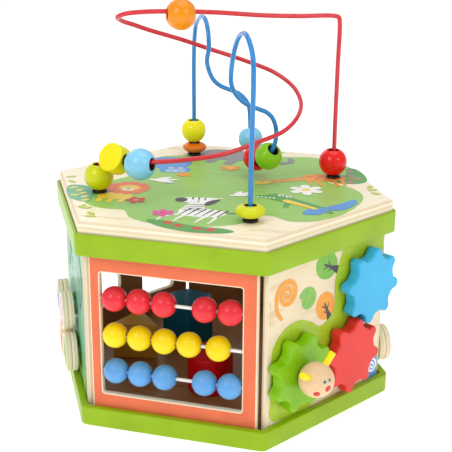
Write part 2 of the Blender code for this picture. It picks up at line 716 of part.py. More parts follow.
def make_materials():
    colours = {
        "plywood": (0.87, 0.72, 0.50),
        "beech": (0.80, 0.53, 0.32),
        "coral": (0.83, 0.20, 0.12),
        "lime": (0.30, 0.52, 0.01),
        "teal": (0.26, 0.62, 0.43),
        "white": (0.85, 0.85, 0.85),
        "red": (0.75, 0.02, 0.02),
        "yellow": (0.95, 0.75, 0.00),
        "blue": (0.11, 0.35, 0.74),
        "red_gear": (0.75, 0.04, 0.03),
        "blue_gear": (0.07, 0.50, 0.84),
        "green_gear": (0.20, 0.47, 0.01),
        "orange": (0.90, 0.33, 0.00),
        "deep_orange": (0.85, 0.18, 0.00),
        "sky": (0.23, 0.60, 0.86),
        "lime_yellow": (0.65, 0.65, 0.01),
        "green": (0.25, 0.55, 0.01),
        "red_wire": (0.65, 0.03, 0.05),
        "blue_wire": (0.03, 0.24, 0.57),
        "black": (0.01, 0.01, 0.01),
        "deep_blue": (0.02, 0.07, 0.30),
        "amber": (0.60, 0.40, 0.03),
    }
    for name, colour in colours.items():
        MATERIALS[name] = material(name, colour)


def main():
    clear_scene()
    make_materials()
    build_case()
    build_abacus()
    build_gears()
    build_discs()
    build_slot()
    build_sorter()
    build_blocks()
    build_maze()


main()
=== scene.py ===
import json
import math

import bmesh
import bpy
from mathutils import Matrix, Vector

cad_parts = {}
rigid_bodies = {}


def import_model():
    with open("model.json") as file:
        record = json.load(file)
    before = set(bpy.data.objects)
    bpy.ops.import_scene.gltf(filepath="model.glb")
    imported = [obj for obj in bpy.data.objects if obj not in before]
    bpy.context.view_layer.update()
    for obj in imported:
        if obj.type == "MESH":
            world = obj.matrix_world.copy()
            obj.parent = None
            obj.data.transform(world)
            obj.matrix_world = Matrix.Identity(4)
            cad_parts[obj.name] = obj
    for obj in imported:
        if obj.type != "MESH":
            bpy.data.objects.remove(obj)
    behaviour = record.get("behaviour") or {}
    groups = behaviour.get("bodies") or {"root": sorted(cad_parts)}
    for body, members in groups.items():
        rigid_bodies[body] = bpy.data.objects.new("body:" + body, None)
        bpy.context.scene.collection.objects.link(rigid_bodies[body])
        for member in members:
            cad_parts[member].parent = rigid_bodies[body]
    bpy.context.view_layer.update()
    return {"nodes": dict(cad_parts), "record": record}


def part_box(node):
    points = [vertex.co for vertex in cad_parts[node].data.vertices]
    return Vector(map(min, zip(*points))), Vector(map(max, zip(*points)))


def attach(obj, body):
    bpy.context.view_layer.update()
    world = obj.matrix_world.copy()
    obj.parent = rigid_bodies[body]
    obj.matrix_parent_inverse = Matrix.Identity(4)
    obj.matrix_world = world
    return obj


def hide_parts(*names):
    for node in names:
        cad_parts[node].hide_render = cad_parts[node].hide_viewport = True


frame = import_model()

mm = 0.001
sceneObjects = bpy.context.scene.collection.objects

# directions that the six sides of the case face, in degrees from +X
sideBearing = {"abacus": -90, "gear": -30, "slot": 30, "back": 90, "sorter": 150, "disc": -150}

panelLow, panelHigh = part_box("abacus_panel")
panel = {
    "out": -panelLow[1],
    "thick": panelHigh[1] - panelLow[1],
    "half": panelHigh[0],
    "bottom": panelLow[2],
    "top": panelHigh[2],
    "edge": 0.0008,
}


def centreOf(node):
    low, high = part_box(node)
    return (Vector(low) + Vector(high)) / 2


def sidePlace(side, u=0.0, out=0.0, z=0.0):
    # local X runs right as seen from outside, local Y up and local Z out of the side
    angle = math.radians(sideBearing[side])
    normal = Vector((math.cos(angle), math.sin(angle), 0))
    right = Vector((-normal.y, normal.x, 0))
    up = Vector((0, 0, 1))
    at = normal * (panel["out"] + out) + right * u + up * z
    return Matrix.Translation(at) @ Matrix((right, up, normal)).transposed().to_4x4()


def alongAxis(centre, direction):
    turn = Vector(direction).normalized().to_track_quat("Z", "Y")
    return Matrix.Translation(Vector(centre)) @ turn.to_matrix().to_4x4()


cameraView = {
    "place": (0.2825, -0.9478, 0.4868),
    "looks": (-0.2645, 0.9101, -0.3189),
    "roll": 0.35,
    "lens": 84.1,
}


def makeCamera():
    data = bpy.data.cameras.new("camera")
    data.lens = cameraView["lens"]
    data.sensor_width = 36
    camera = bpy.data.objects.new("camera", data)
    camera.location = cameraView["place"]
    looks = Vector(cameraView["looks"]).to_track_quat("-Z", "Y").to_matrix()
    roll = Matrix.Rotation(math.radians(cameraView["roll"]), 3, "Z")
    camera.rotation_euler = (looks @ roll).to_euler()
    sceneObjects.link(camera)
    bpy.context.scene.camera = camera


studio = {
    "world": 0.56,
    "lamps": {
        "key": ((-0.55, -1.35, 1.35), 0.8, 8.5),
        "top": ((0.10, 0.15, 1.70), 1.2, 7.2),
        "right": ((1.40, -0.70, 1.10), 0.6, 4),
        "back": ((-1.10, 1.10, 1.00), 1.0, 3),
    },
    "floor": 8.0,
    "floorGlow": 0.55,
}


def makeStudio():
    world = bpy.data.worlds.new("studio")
    bpy.context.scene.world = world
    world.use_nodes = True
    sky = world.node_tree.nodes["Background"]
    sky.inputs["Color"].default_value = (1, 1, 1, 1)
    sky.inputs["Strength"].default_value = studio["world"]
    for name, (place, size, watts) in studio["lamps"].items():
        data = bpy.data.lights.new(name, "AREA")
        data.energy = watts
        data.size = size
        lamp = bpy.data.objects.new(name, data)
        lamp.location = place
        aim = Vector((0, 0, 0.15)) - Vector(place)
        lamp.rotation_euler = aim.to_track_quat("-Z", "Y").to_euler()
        sceneObjects.link(lamp)
    bm = bmesh.new()
    bmesh.ops.create_grid(bm, x_segments=4, y_segments=4, size=studio["floor"])
    mesh = bpy.data.meshes.new("floor")
    bm.to_mesh(mesh)
    bm.free()
    floor = bpy.data.objects.new("floor", mesh)
    floor.location.z = -0.0002
    white = paint("floorWhite", "#FFFFFF", rough=0.9, coat=0.0, grain=0.0)
    white.node_tree.nodes["Principled BSDF"].inputs["Emission Color"].default_value = (1, 1, 1, 1)
    white.node_tree.nodes["Principled BSDF"].inputs["Emission Strength"].default_value = studio["floorGlow"]
    mesh.materials.append(white)
    sceneObjects.link(floor)
    bpy.context.scene.view_settings.view_transform = "Standard"


# materials: one function for each kind of finish


def shade(code, lift=1.0):
    parts = [int(code[i : i + 2], 16) / 255 for i in (1, 3, 5)]
    line = [c / 12.92 if c <= 0.04045 else ((c + 0.055) / 1.055) ** 2.4 for c in parts]
    return (*(min(1.0, c * lift) for c in line), 1.0)


# share of the lacquer kept, and the white reflection it adds to each colour
lacquer = {"coat": 0.42, "specular": 0.25, "veil": 0.02, "bright": 1.0}


def unveiled(colour):
    kept = [max(0.0, (part - lacquer["veil"]) / lacquer["bright"]) for part in colour[:3]]
    return (*kept, 1)


def blank(name, rough, coat, coatRough=0.06):
    made = bpy.data.materials.new(name)
    made.use_nodes = True
    shader = made.node_tree.nodes["Principled BSDF"]
    shader.inputs["Roughness"].default_value = rough
    shader.inputs["Coat Weight"].default_value = coat * lacquer["coat"]
    shader.inputs["Specular IOR Level"].default_value = lacquer["specular"]
    shader.inputs["Coat Roughness"].default_value = coatRough
    return made, made.node_tree.nodes, made.node_tree.links, shader


def mapped(nodes, links, stretch):
    coordinates = nodes.new("ShaderNodeTexCoord")
    mapping = nodes.new("ShaderNodeMapping")
    mapping.inputs["Scale"].default_value = stretch
    links.new(coordinates.outputs["Object"], mapping.inputs["Vector"])
    return mapping.outputs["Vector"]


def noiseFrom(nodes, links, vector, scale, detail=3.0, distortion=0.0):
    made = nodes.new("ShaderNodeTexNoise")
    made.inputs["Scale"].default_value = scale
    made.inputs["Detail"].default_value = detail
    made.inputs["Distortion"].default_value = distortion
    links.new(vector, made.inputs["Vector"])
    return made.outputs["Fac"]


def ramp(nodes, links, value, stops):
    made = nodes.new("ShaderNodeValToRGB")
    row = made.color_ramp.elements
    while len(row) < len(stops):
        row.new(0.5)
    for element, (place, colour) in zip(row, stops):
        element.position = place
        element.color = colour
    links.new(value, made.inputs["Fac"])
    return made.outputs["Color"]


def bumpFrom(nodes, links, shader, height, strength, distance=0.0003):
    made = nodes.new("ShaderNodeBump")
    made.inputs["Strength"].default_value = strength
    made.inputs["Distance"].default_value = distance
    links.new(height, made.inputs["Height"])
    links.new(made.outputs["Normal"], shader.inputs["Normal"])


# sprayed paint over turned or sawn wood: a slow drift of colour and a faint grain under gloss
def paint(name, code, rough=0.32, coat=0.7, grain=0.12):
    if name in bpy.data.materials:
        return bpy.data.materials[name]
    made, nodes, links, shader = blank(name, rough, coat)
    drift = noiseFrom(nodes, links, mapped(nodes, links, (1, 1, 1)), 28, 2)
    stops = [(0.35, unveiled(shade(code, 0.93))), (0.65, unveiled(shade(code, 1.04)))]
    colour = ramp(nodes, links, drift, stops)
    links.new(colour, shader.inputs["Base Color"])
    fibres = noiseFrom(nodes, links, mapped(nodes, links, (1, 1, 0.12)), 600, 3)
    if grain:
        bumpFrom(nodes, links, shader, fibres, grain, 0.00012)
    return made


# clear-lacquered birch: streaks along local X, with small darker pores
def birch(name, light="#F7E8C9", dark="#E6CCA0", pore="#C9A87C"):
    if name in bpy.data.materials:
        return bpy.data.materials[name]
    made, nodes, links, shader = blank(name, 0.42, 0.55, 0.10)
    streaks = noiseFrom(nodes, links, mapped(nodes, links, (0.10, 1, 1)), 210, 5, 0.6)
    figure = noiseFrom(nodes, links, mapped(nodes, links, (0.35, 1, 1)), 24, 3, 1.4)
    mix = nodes.new("ShaderNodeMath")
    mix.operation = "MULTIPLY_ADD"
    mix.inputs[1].default_value = 0.45
    links.new(streaks, mix.inputs[0])
    links.new(figure, mix.inputs[2])
    stops = [(0.45, shade(dark)), (0.62, shade(light)), (0.85, shade(light, 1.03)), (0.95, shade(dark))]
    base = ramp(nodes, links, mix.outputs["Value"], stops)
    pores = noiseFrom(nodes, links, mapped(nodes, links, (0.06, 1, 1)), 900, 2)
    spots = ramp(nodes, links, pores, [(0.68, (0, 0, 0, 1)), (0.76, (0.55, 0.55, 0.55, 1))])
    blend = nodes.new("ShaderNodeMix")
    blend.data_type = "RGBA"
    links.new(spots, blend.inputs["Factor"])
    links.new(base, blend.inputs["A"])
    blend.inputs["B"].default_value = shade(pore)
    links.new(blend.outputs["Result"], shader.inputs["Base Color"])
    bumpFrom(nodes, links, shader, streaks, 0.10, 0.0001)
    return made


# cut edge of plywood: layers across local Z
def plyEdge(name, pitch, offset=0.0):
    if name in bpy.data.materials:
        return bpy.data.materials[name]
    made, nodes, links, shader = blank(name, 0.5, 0.35, 0.15)
    coordinates = nodes.new("ShaderNodeTexCoord")
    split = nodes.new("ShaderNodeSeparateXYZ")
    links.new(coordinates.outputs["Object"], split.inputs["Vector"])
    wobble = noiseFrom(nodes, links, mapped(nodes, links, (1, 1, 0.3)), 60, 2)
    shift = nodes.new("ShaderNodeMath")
    shift.operation = "MULTIPLY_ADD"
    shift.inputs[1].default_value = 0.0005
    links.new(wobble, shift.inputs[0])
    links.new(split.outputs["Z"], shift.inputs[2])
    layers = nodes.new("ShaderNodeMath")
    layers.operation = "MULTIPLY_ADD"
    layers.inputs[1].default_value = 1 / pitch
    layers.inputs[2].default_value = 20.0 + offset
    links.new(shift.outputs["Value"], layers.inputs[0])
    part = nodes.new("ShaderNodeMath")
    part.operation = "FRACT"
    links.new(layers.outputs["Value"], part.inputs[0])
    light, tan, glue = shade("#FBEFD6"), shade("#E8D4B0"), shade("#CDAE86")
    stops = [(0.0, glue), (0.05, light), (0.50, light), (0.55, glue), (0.60, tan), (0.95, tan)]
    base = ramp(nodes, links, part.outputs["Value"], stops)
    fibres = noiseFrom(nodes, links, mapped(nodes, links, (1, 1, 0.5)), 1100, 3)
    blend = nodes.new("ShaderNodeMix")
    blend.data_type = "RGBA"
    blend.inputs["Factor"].default_value = 0.22
    links.new(base, blend.inputs["A"])
    links.new(ramp(nodes, links, fibres, [(0.3, tan), (0.7, light)]), blend.inputs["B"])
    links.new(blend.outputs["Result"], shader.inputs["Base Color"])
    bumpFrom(nodes, links, shader, fibres, 0.2, 0.0001)
    return made


# printed ink, a little broken by the wood under it
def ink(code):
    name = "ink" + code[1:]
    if name in bpy.data.materials:
        return bpy.data.materials[name]
    made, nodes, links, shader = blank(name, 0.40, 0.55, 0.10)
    grain = noiseFrom(nodes, links, mapped(nodes, links, (0.12, 1, 1)), 260, 4, 0.5)
    colour = ramp(nodes, links, grain, [(0.30, shade(code, 0.94)), (0.70, shade(code, 1.05))])
    links.new(colour, shader.inputs["Base Color"])
    bumpFrom(nodes, links, shader, grain, 0.06, 0.0001)
    return made


def coatedWire(name, code):
    made, nodes, links, shader = blank(name, 0.22, 1.0, 0.04)
    drift = noiseFrom(nodes, links, mapped(nodes, links, (1, 1, 1)), 70, 2)
    colour = ramp(nodes, links, drift, [(0.3, shade(code, 0.92)), (0.7, shade(code, 1.06))])
    links.new(colour, shader.inputs["Base Color"])
    bumpFrom(nodes, links, shader, noiseFrom(nodes, links, mapped(nodes, links, (1, 1, 1)), 260, 2), 0.05)
    return made


# outlines and meshes


def roundedPolygon(corners, fillet, steps):
    outline = []
    count = len(corners)
    radii = fillet if isinstance(fillet, (list, tuple)) else [fillet] * count
    for i in range(count):
        corner = Vector(corners[i])
        before = (Vector(corners[i - 1]) - corner).normalized()
        after = (Vector(corners[(i + 1) % count]) - corner).normalized()
        if radii[i] <= 0:
            outline.append(corner)
            continue
        half = before.angle(after) / 2
        centre = corner + (before + after).normalized() * radii[i] / math.sin(half)
        start = corner + before * radii[i] / math.tan(half) - centre
        turn = math.pi - 2 * half
        if before.x * after.y - before.y * after.x > 0:
            turn = -turn
        for k in range(steps + 1):
            outline.append(centre + Matrix.Rotation(turn * k / steps, 2) @ start)
    return outline


def hexagon(apothem, fillet, steps=8):
    reach = apothem / math.cos(math.pi / 6)
    corners = [(reach * math.cos(math.pi / 3 * k), reach * math.sin(math.pi / 3 * k)) for k in range(6)]
    return roundedPolygon(corners, fillet, steps)


def circle(radius, count, centre=(0.0, 0.0)):
    made = []
    for k in range(count):
        angle = math.tau * k / count
        made.append(Vector((centre[0] + radius * math.cos(angle), centre[1] + radius * math.sin(angle))))
    return made


def rectangle(left, right, low, high):
    return [(left, low), (right, low), (right, high), (left, high)]


def keepFlat(mesh):
    # edges round a level face stay sharp, so that its shading doesn't bleed
    flags = mesh.attributes.get("sharp_edge") or mesh.attributes.new("sharp_edge", "BOOLEAN", "EDGE")
    level = {}
    for polygon in mesh.polygons:
        for key in polygon.edge_keys:
            level.setdefault(key, []).append(abs(polygon.normal.z) > 0.9995)
    for edge in mesh.edges:
        around = level.get(edge.key, [])
        if any(around) and not all(around):
            flags.data[edge.index].value = True


def finishPiece(name, bm, place, body, nodes, materials, sharp=35, pick=None, flat=False):
    bmesh.ops.remove_doubles(bm, verts=bm.verts, dist=1e-7)
    bmesh.ops.recalc_face_normals(bm, faces=bm.faces)
    if pick:
        bm.normal_update()
        for face in bm.faces:
            face.material_index = pick(face)
    mesh = bpy.data.meshes.new(name)
    bm.to_mesh(mesh)
    bm.free()
    mesh.shade_smooth()
    mesh.set_sharp_from_angle(angle=math.radians(sharp))
    if flat:
        keepFlat(mesh)
    for each in materials:
        mesh.materials.append(each)
    # plywood looks follow a piece's own axes, so only other pieces take their place into the mesh
    if not any("ply" in each.name or "Edge" in each.name for each in materials):
        mesh.transform(place)
        place = Matrix.Identity(4)
    piece = bpy.data.objects.new(name, mesh)
    sceneObjects.link(piece)
    piece.matrix_world = place
    bpy.context.view_layer.update()
    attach(piece, body)
    if nodes:
        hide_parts(*nodes)
    return piece


def loft(loops, closed=False):
    bm = bmesh.new()
    rows = [[bm.verts.new(point) for point in loop] for loop in loops]
    count = len(rows[0])
    pairs = list(zip(rows, rows[1:]))
    if closed:
        pairs.append((rows[-1], rows[0]))
    for low, high in pairs:
        for i in range(count):
            j = (i + 1) % count
            bm.faces.new((low[i], low[j], high[j], high[i]))
    if not closed:
        bm.faces.new(rows[0])
        bm.faces.new(rows[-1])
    return bm


def turned(profile, steps=48):
    # closed outline of (radius, height) spun about local Z
    bm = bmesh.new()
    rings = []
    for radius, height in profile:
        if radius < 1e-7:
            rings.append([bm.verts.new((0, 0, height))])
            continue
        ring = []
        for k in range(steps):
            angle = math.tau * k / steps
            ring.append(bm.verts.new((radius * math.cos(angle), radius * math.sin(angle), height)))
        rings.append(ring)
    for i, ring in enumerate(rings):
        after = rings[(i + 1) % len(rings)]
        if len(ring) == 1 and len(after) == 1:
            continue
        for k in range(steps):
            m = (k + 1) % steps
            if len(ring) == 1:
                bm.faces.new((ring[0], after[k], after[m]))
            elif len(after) == 1:
                bm.faces.new((ring[k], after[0], ring[m]))
            else:
                bm.faces.new((ring[k], after[k], after[m], ring[m]))
    return bm


# flat board with round-over edges, front face at local Z 0
def sawn(outlines, thick, edge, steps=3):
    curve = bpy.data.curves.new("sawn", "CURVE")
    curve.dimensions = "2D"
    curve.fill_mode = "BOTH"
    curve.extrude = thick / 2 - edge
    curve.bevel_depth = edge
    curve.bevel_resolution = steps
    curve.offset = -edge
    for outline in outlines:
        line = curve.splines.new("POLY")
        line.points.add(len(outline) - 1)
        for point, place in zip(line.points, outline):
            point.co = (place[0], place[1], 0, 1)
        line.use_cyclic_u = True
    helper = bpy.data.objects.new("sawn", curve)
    sceneObjects.link(helper)
    graph = bpy.context.evaluated_depsgraph_get()
    mesh = bpy.data.meshes.new_from_object(helper.evaluated_get(graph))
    bm = bmesh.new()
    bm.from_mesh(mesh)
    bmesh.ops.remove_doubles(bm, verts=bm.verts, dist=1e-6)
    bmesh.ops.translate(bm, verts=bm.verts, vec=(0, 0, -thick / 2))
    bpy.data.objects.remove(helper)
    bpy.data.curves.remove(curve)
    bpy.data.meshes.remove(mesh)
    return bm


def faceOrEdge(face):
    return 0 if abs(face.normal.z) > 0.995 else 1


# flat print shapes, drawn in millimetres; every one is closed


def oval(x, y, wide, tall=None, turn=0.0, count=40):
    tall = tall or wide
    spin = Matrix.Rotation(math.radians(turn), 2)
    made = []
    for k in range(count):
        angle = math.tau * k / count
        made.append(Vector((x, y)) + spin @ Vector((wide * math.cos(angle), tall * math.sin(angle))))
    return made


def flow(points, closed=True, between=7):
    # smooth curve through given points
    points = [Vector(p) for p in points]
    count = len(points)
    if closed:
        ends = [points[-1]] + points + points[:2]
        spans = count
    else:
        ends = [2 * points[0] - points[1]] + points + [2 * points[-1] - points[-2]]
        spans = count - 1
    made = []
    for i in range(spans):
        a, b, c, d = ends[i : i + 4]
        for k in range(between):
            t = k / between
            made.append(
                0.5 * ((2 * b) + (c - a) * t + (2 * a - 5 * b + 4 * c - d) * t**2 + (3 * b - a - 3 * c + d) * t**3)
            )
    if not closed:
        made.append(points[-1])
    return made


def stroke(points, wide, tip=None, smooth=True):
    # brush stroke with round ends; its width runs from wide to tip
    tip = wide if tip is None else tip
    line = flow(points, closed=False) if smooth and len(points) > 2 else [Vector(p) for p in points]
    left, right = [], []
    last = len(line) - 1
    for i, place in enumerate(line):
        ahead = (line[min(i + 1, last)] - line[max(i - 1, 0)]).normalized()
        half = (wide + (tip - wide) * i / last) / 2
        side = Vector((-ahead.y, ahead.x)) * half
        left.append(place + side)
        right.append(place - side)
    made = list(right)
    for centre, start, radius in ((line[-1], right[-1], tip / 2), (line[0], left[0], wide / 2)):
        begin = math.atan2(start.y - centre.y, start.x - centre.x)
        cap = []
        for k in range(1, 7):
            angle = begin + math.pi * k / 7
            cap.append(centre + Vector((math.cos(angle), math.sin(angle))) * radius)
        made += cap
        if centre is line[-1]:
            made += list(reversed(left))
    return made


def curl(x, y, inner, outer, turns, start, wide):
    count = int(turns * 14)
    line = []
    for k in range(count + 1):
        part = k / count
        angle = math.radians(start) + math.tau * turns * part
        radius = inner + (outer - inner) * part
        line.append((x + radius * math.cos(angle), y + radius * math.sin(angle)))
    return stroke(line, wide, wide * 1.15, smooth=False)


def blossom(x, y, radius, petals, depth=0.35, turn=0.0):
    made = []
    for k in range(petals * 12):
        angle = math.tau * k / (petals * 12)
        reach = radius * (1 - depth + depth * abs(math.sin(petals * angle / 2)) ** 0.7)
        made.append(Vector((x + reach * math.cos(angle + turn), y + reach * math.sin(angle + turn))))
    return made


def moved(shapes, x, y, turn=0.0, size=1.0, lift=0):
    spin = Matrix.Rotation(math.radians(turn), 2)
    made = []
    for code, line, level in shapes:
        made.append((code, [Vector((x, y)) + spin @ (Vector(p) * size) for p in line], level + lift))
    return made


def clipped(outline, left, right, low, high):
    for axis, limit, keepAbove in ((0, left, True), (0, right, False), (1, low, True), (1, high, False)):
        made = []
        for i, here in enumerate(outline):
            before = outline[i - 1]
            inside = (here[axis] >= limit) == keepAbove or here[axis] == limit
            wasInside = (before[axis] >= limit) == keepAbove or before[axis] == limit
            if inside != wasInside and abs(here[axis] - before[axis]) > 1e-9:
                part = (limit - before[axis]) / (here[axis] - before[axis])
                made.append(Vector(before) + (Vector(here) - Vector(before)) * part)
            if inside:
                made.append(Vector(here))
        outline = made
        if len(outline) < 3:
            return []
    return outline


printFilm = {"lift": 0.00005, "step": 0.00003, "spread": 0.0003, "thick": 0.000002}


def printOn(name, shapes, place, body, window=None):
    bm = bmesh.new()
    codes = []
    each = printFilm["spread"] / len(shapes)
    for order, (code, outline, level) in enumerate(shapes):
        if window:
            outline = clipped(outline, *window)
        if len(outline) < 3:
            continue
        if code not in codes:
            codes.append(code)
        top = printFilm["lift"] + printFilm["step"] * level + each * order
        points = [Vector((p[0] * mm, p[1] * mm, top)) for p in outline]
        points = [p for i, p in enumerate(points) if (p - points[i - 1]).length > 2e-5]
        verts = [bm.verts.new(p) for p in points]
        face = bm.faces.new(verts)
        face.material_index = codes.index(code)
        film = bmesh.ops.extrude_face_region(bm, geom=[face])
        under = [v for v in film["geom"] if isinstance(v, bmesh.types.BMVert)]
        bmesh.ops.translate(bm, verts=under, vec=(0, 0, -printFilm["thick"]))
        for made in film["geom"]:
            if isinstance(made, bmesh.types.BMFace):
                made.material_index = codes.index(code)
                for edge in made.edges:
                    for near in edge.link_faces:
                        near.material_index = codes.index(code)
    piece = finishPiece(name, bm, place, body, (), [ink(code) for code in codes], sharp=30)
    return piece


inks = {
    "meadow": "#9CCB6A",
    "deepGreen": "#5DA552",
    "leafGreen": "#86C153",
    "teal": "#63B08A",
    "lime": "#ADC924",
    "leaf": "#C3D45A",
    "yellow": "#F8D84A",
    "orange": "#F6A33A",
    "coral": "#EE7A55",
    "red": "#D8493F",
    "pink": "#E35DA0",
    "blue": "#5B9BD8",
    "sky": "#A9CBEC",
    "grey": "#8D8B90",
    "dark": "#4A444C",
    "white": "#FBFAF4",
    "brown": "#8A5A35",
}


def eyes(x, y, gap=5.0, size=2.2):
    made = []
    for side in (-1, 1):
        made.append((inks["white"], oval(x + side * gap / 2, y, size), 4))
        made.append((inks["dark"], oval(x + side * gap / 2 + 0.4, y - 0.3, size * 0.45), 5))
    return made


def stripedPony():
    white, dark = inks["white"], inks["dark"]
    body = flow([(-21, 6), (-10, 12), (8, 11), (21, 7), (23, -3), (14, -11), (-4, -13), (-18, -9)])
    neck = flow([(-20, -2), (-20, 12), (-17, 27), (-5, 30), (-1, 18), (0, 6), (-8, -4)])
    face = flow([(-32, 36), (-26, 42), (-12, 45), (2, 46), (5, 38), (-2, 29), (-14, 26), (-25, 28), (-32, 30)])
    made = [(white, body, 2), (white, neck, 2), (white, face, 2)]
    made.append((dark, oval(-28, 34, 6, 7, 10), 3))
    for foot, hip in ((-33, -18), (-18, -12), (2, 8), (14, 17)):
        made.append((white, stroke([(hip, -8), (foot + 2, -20), (foot, -29)], 3.6, 1.8), 2))
    for k in range(6):
        x = -15 + 7.0 * k
        made.append((dark, stroke([(x + 3, 10), (x, 0), (x - 2.5, -10)], 2.3, 1.0), 3))
    for k in range(4):
        made.append((dark, stroke([(-2, 7 + 5.6 * k), (-19, 4 + 5.6 * k)], 1.9, 0.9), 3))
    for x in (-19, -13, -7):
        made.append((dark, stroke([(x, 44), (x + 1.5, 37)], 1.9, 0.8), 3))
    made.append((dark, flow([(-2, 22), (3, 24), (7, 34), (8, 42), (2, 40), (-3, 31)]), 3))
    made.append((white, stroke([(0, 43), (9, 48)], 3.2, 1.8), 3))
    made.append((dark, stroke([(23, 4), (29, 4), (34, 7)], 1.4, 2.6), 3))
    made.append((dark, oval(-11, 33, 1.3), 4))
    return made


def manedCat():
    gold, mane = inks["yellow"], inks["coral"]
    made = [(gold, flow([(-17, -20), (4, -21), (12, -30), (8, -42), (-20, -42), (-27, -30)]), 2)]
    for x in (-20, -8, 4):
        made.append((gold, stroke([(x, -36), (x - 1, -52)], 7, 6), 2))
    made.append((mane, blossom(0, 0, 25, 11, 0.16), 3))
    made.append((inks["orange"], oval(1, -1, 14, 13), 4))
    made.append((gold, oval(1, 1, 11, 9), 5))
    made.append((inks["white"], oval(1, -6, 7, 4.5), 6))
    made.append((inks["dark"], oval(1, -3.5, 2.4, 1.5), 7))
    made += [(code, line, 7) for code, line, _ in eyes(1, 3, 8, 1.5)]
    made.append((gold, stroke([(10, -34), (20, -34), (27, -30)], 3, 2), 2))
    return made


def riverHorse():
    blue = inks["blue"]
    made = [(blue, flow([(-22, -8), (-24, 14), (-8, 26), (14, 24), (24, 10), (20, -12), (0, -20)]), 2)]
    made.append((blue, oval(12, -22, 15, 11, 10), 2))
    made.append((inks["sky"], oval(12, -26, 11, 6, 8), 3))
    for x in (-14, 0):
        made.append((blue, stroke([(x, -12), (x, -28)], 9, 8), 2))
    for x in (4, 18):
        made.append((blue, oval(x, -9, 3.4), 3))
    made += eyes(11, -16, 10, 2.6)
    made.append((inks["dark"], oval(8, -25, 1.2, 0.9), 4))
    made.append((inks["dark"], oval(16, -24, 1.2, 0.9), 4))
    return made


def longNosed():
    grey = inks["grey"]
    made = [(grey, flow([(-34, -6), (-30, 12), (-8, 20), (16, 16), (24, 0), (12, -14), (-14, -16)]), 2)]
    made.append((grey, oval(28, 4, 15, 13), 2))
    made.append((grey, stroke([(36, -2), (48, -8), (56, 0), (52, 10)], 9, 5), 2))
    for x in (-26, -12, 6):
        made.append((grey, stroke([(x, -8), (x - 1, -26)], 10, 9), 2))
    made.append((inks["sky"], flow([(14, 12), (26, 16), (30, 2), (20, -8), (12, 0)]), 3))
    made.append((inks["white"], oval(36, 8, 2.2), 4))
    made.append((inks["dark"], oval(36.5, 8, 1.0), 5))
    return made


def longNeck():
    coat = inks["orange"]
    made = [(coat, stroke([(-40, -22), (-18, -12), (6, -2)], 8, 10), 2)]
    made.append((coat, flow([(0, -10), (0, 8), (20, 14), (40, 10), (44, -4), (24, -12)]), 2))
    made.append((inks["yellow"], oval(-44, -24, 9, 6, 20), 3))
    made.append((coat, stroke([(-42, -18), (-44, -10)], 3, 2), 2))
    for x, y in ((4, -6), (14, -10), (32, -10), (40, -6)):
        made.append((coat, stroke([(x, y), (x + 4, y - 20)], 4.5, 3), 2))
    for k in range(9):
        made.append((inks["brown"], oval(-33 + 4.6 * k, -15 + 2.2 * k, 1.5, 0.9, 25), 3))
    for x, y in ((8, 4), (17, 7), (27, 5), (36, 2), (14, -4), (24, -4), (33, -5)):
        made.append((inks["coral"], oval(x, y, 3.0, 2.2, 20), 3))
    made.append((inks["dark"], oval(-45, -23, 1.1), 4))
    made.append((coat, stroke([(43, 0), (56, -2)], 1.4, 2.4), 2))
    return made


def longJaw():
    skin = inks["deepGreen"]
    made = [(skin, stroke([(-26, 8), (0, 2), (26, -4), (50, -13)], 22, 6), 2)]
    made.append((skin, stroke([(-20, 8), (-42, 0)], 14, 8), 2))
    made.append((inks["yellow"], stroke([(-8, 0), (30, -9)], 9, 6), 3))
    for x in (-4, 30):
        made.append((skin, stroke([(x, -4), (x + 4, -18)], 7, 6), 2))
    for k in range(5):
        made.append((inks["white"], oval(-42 + 4.4 * k, -2.5 + 1.1 * k, 1.4, 2.0), 3))
    made += eyes(-18, 15, 9, 3.4)
    for k in range(7):
        made.append((inks["teal"], oval(2 + 6.5 * k, 9 - 1.8 * k, 2.4, 1.6, -15), 3))
    return made


def daisy(x, y, radius, petals="white", heart="yellow", count=6, turn=0.3):
    return [
        (inks[petals], blossom(x, y, radius, count, 0.55, turn), 2),
        (inks[heart], oval(x, y, radius * 0.26, radius * 0.24), 3),
    ]


def glider(x, y, size, turn=0.0):
    white = inks["white"]
    shapes = [
        (white, oval(0, 0, 12, 3.4), 2),
        (white, oval(-2, 7, 8, 3.2, 60), 2),
        (white, oval(5, 6, 7, 2.8, 35), 2),
        (inks["sky"], oval(9, -2, 4, 1.6), 3),
    ]
    return moved(shapes, x, y, turn, size)


topPlace = {"height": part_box("top_board")[1][2], "low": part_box("top_board")[0][2]}


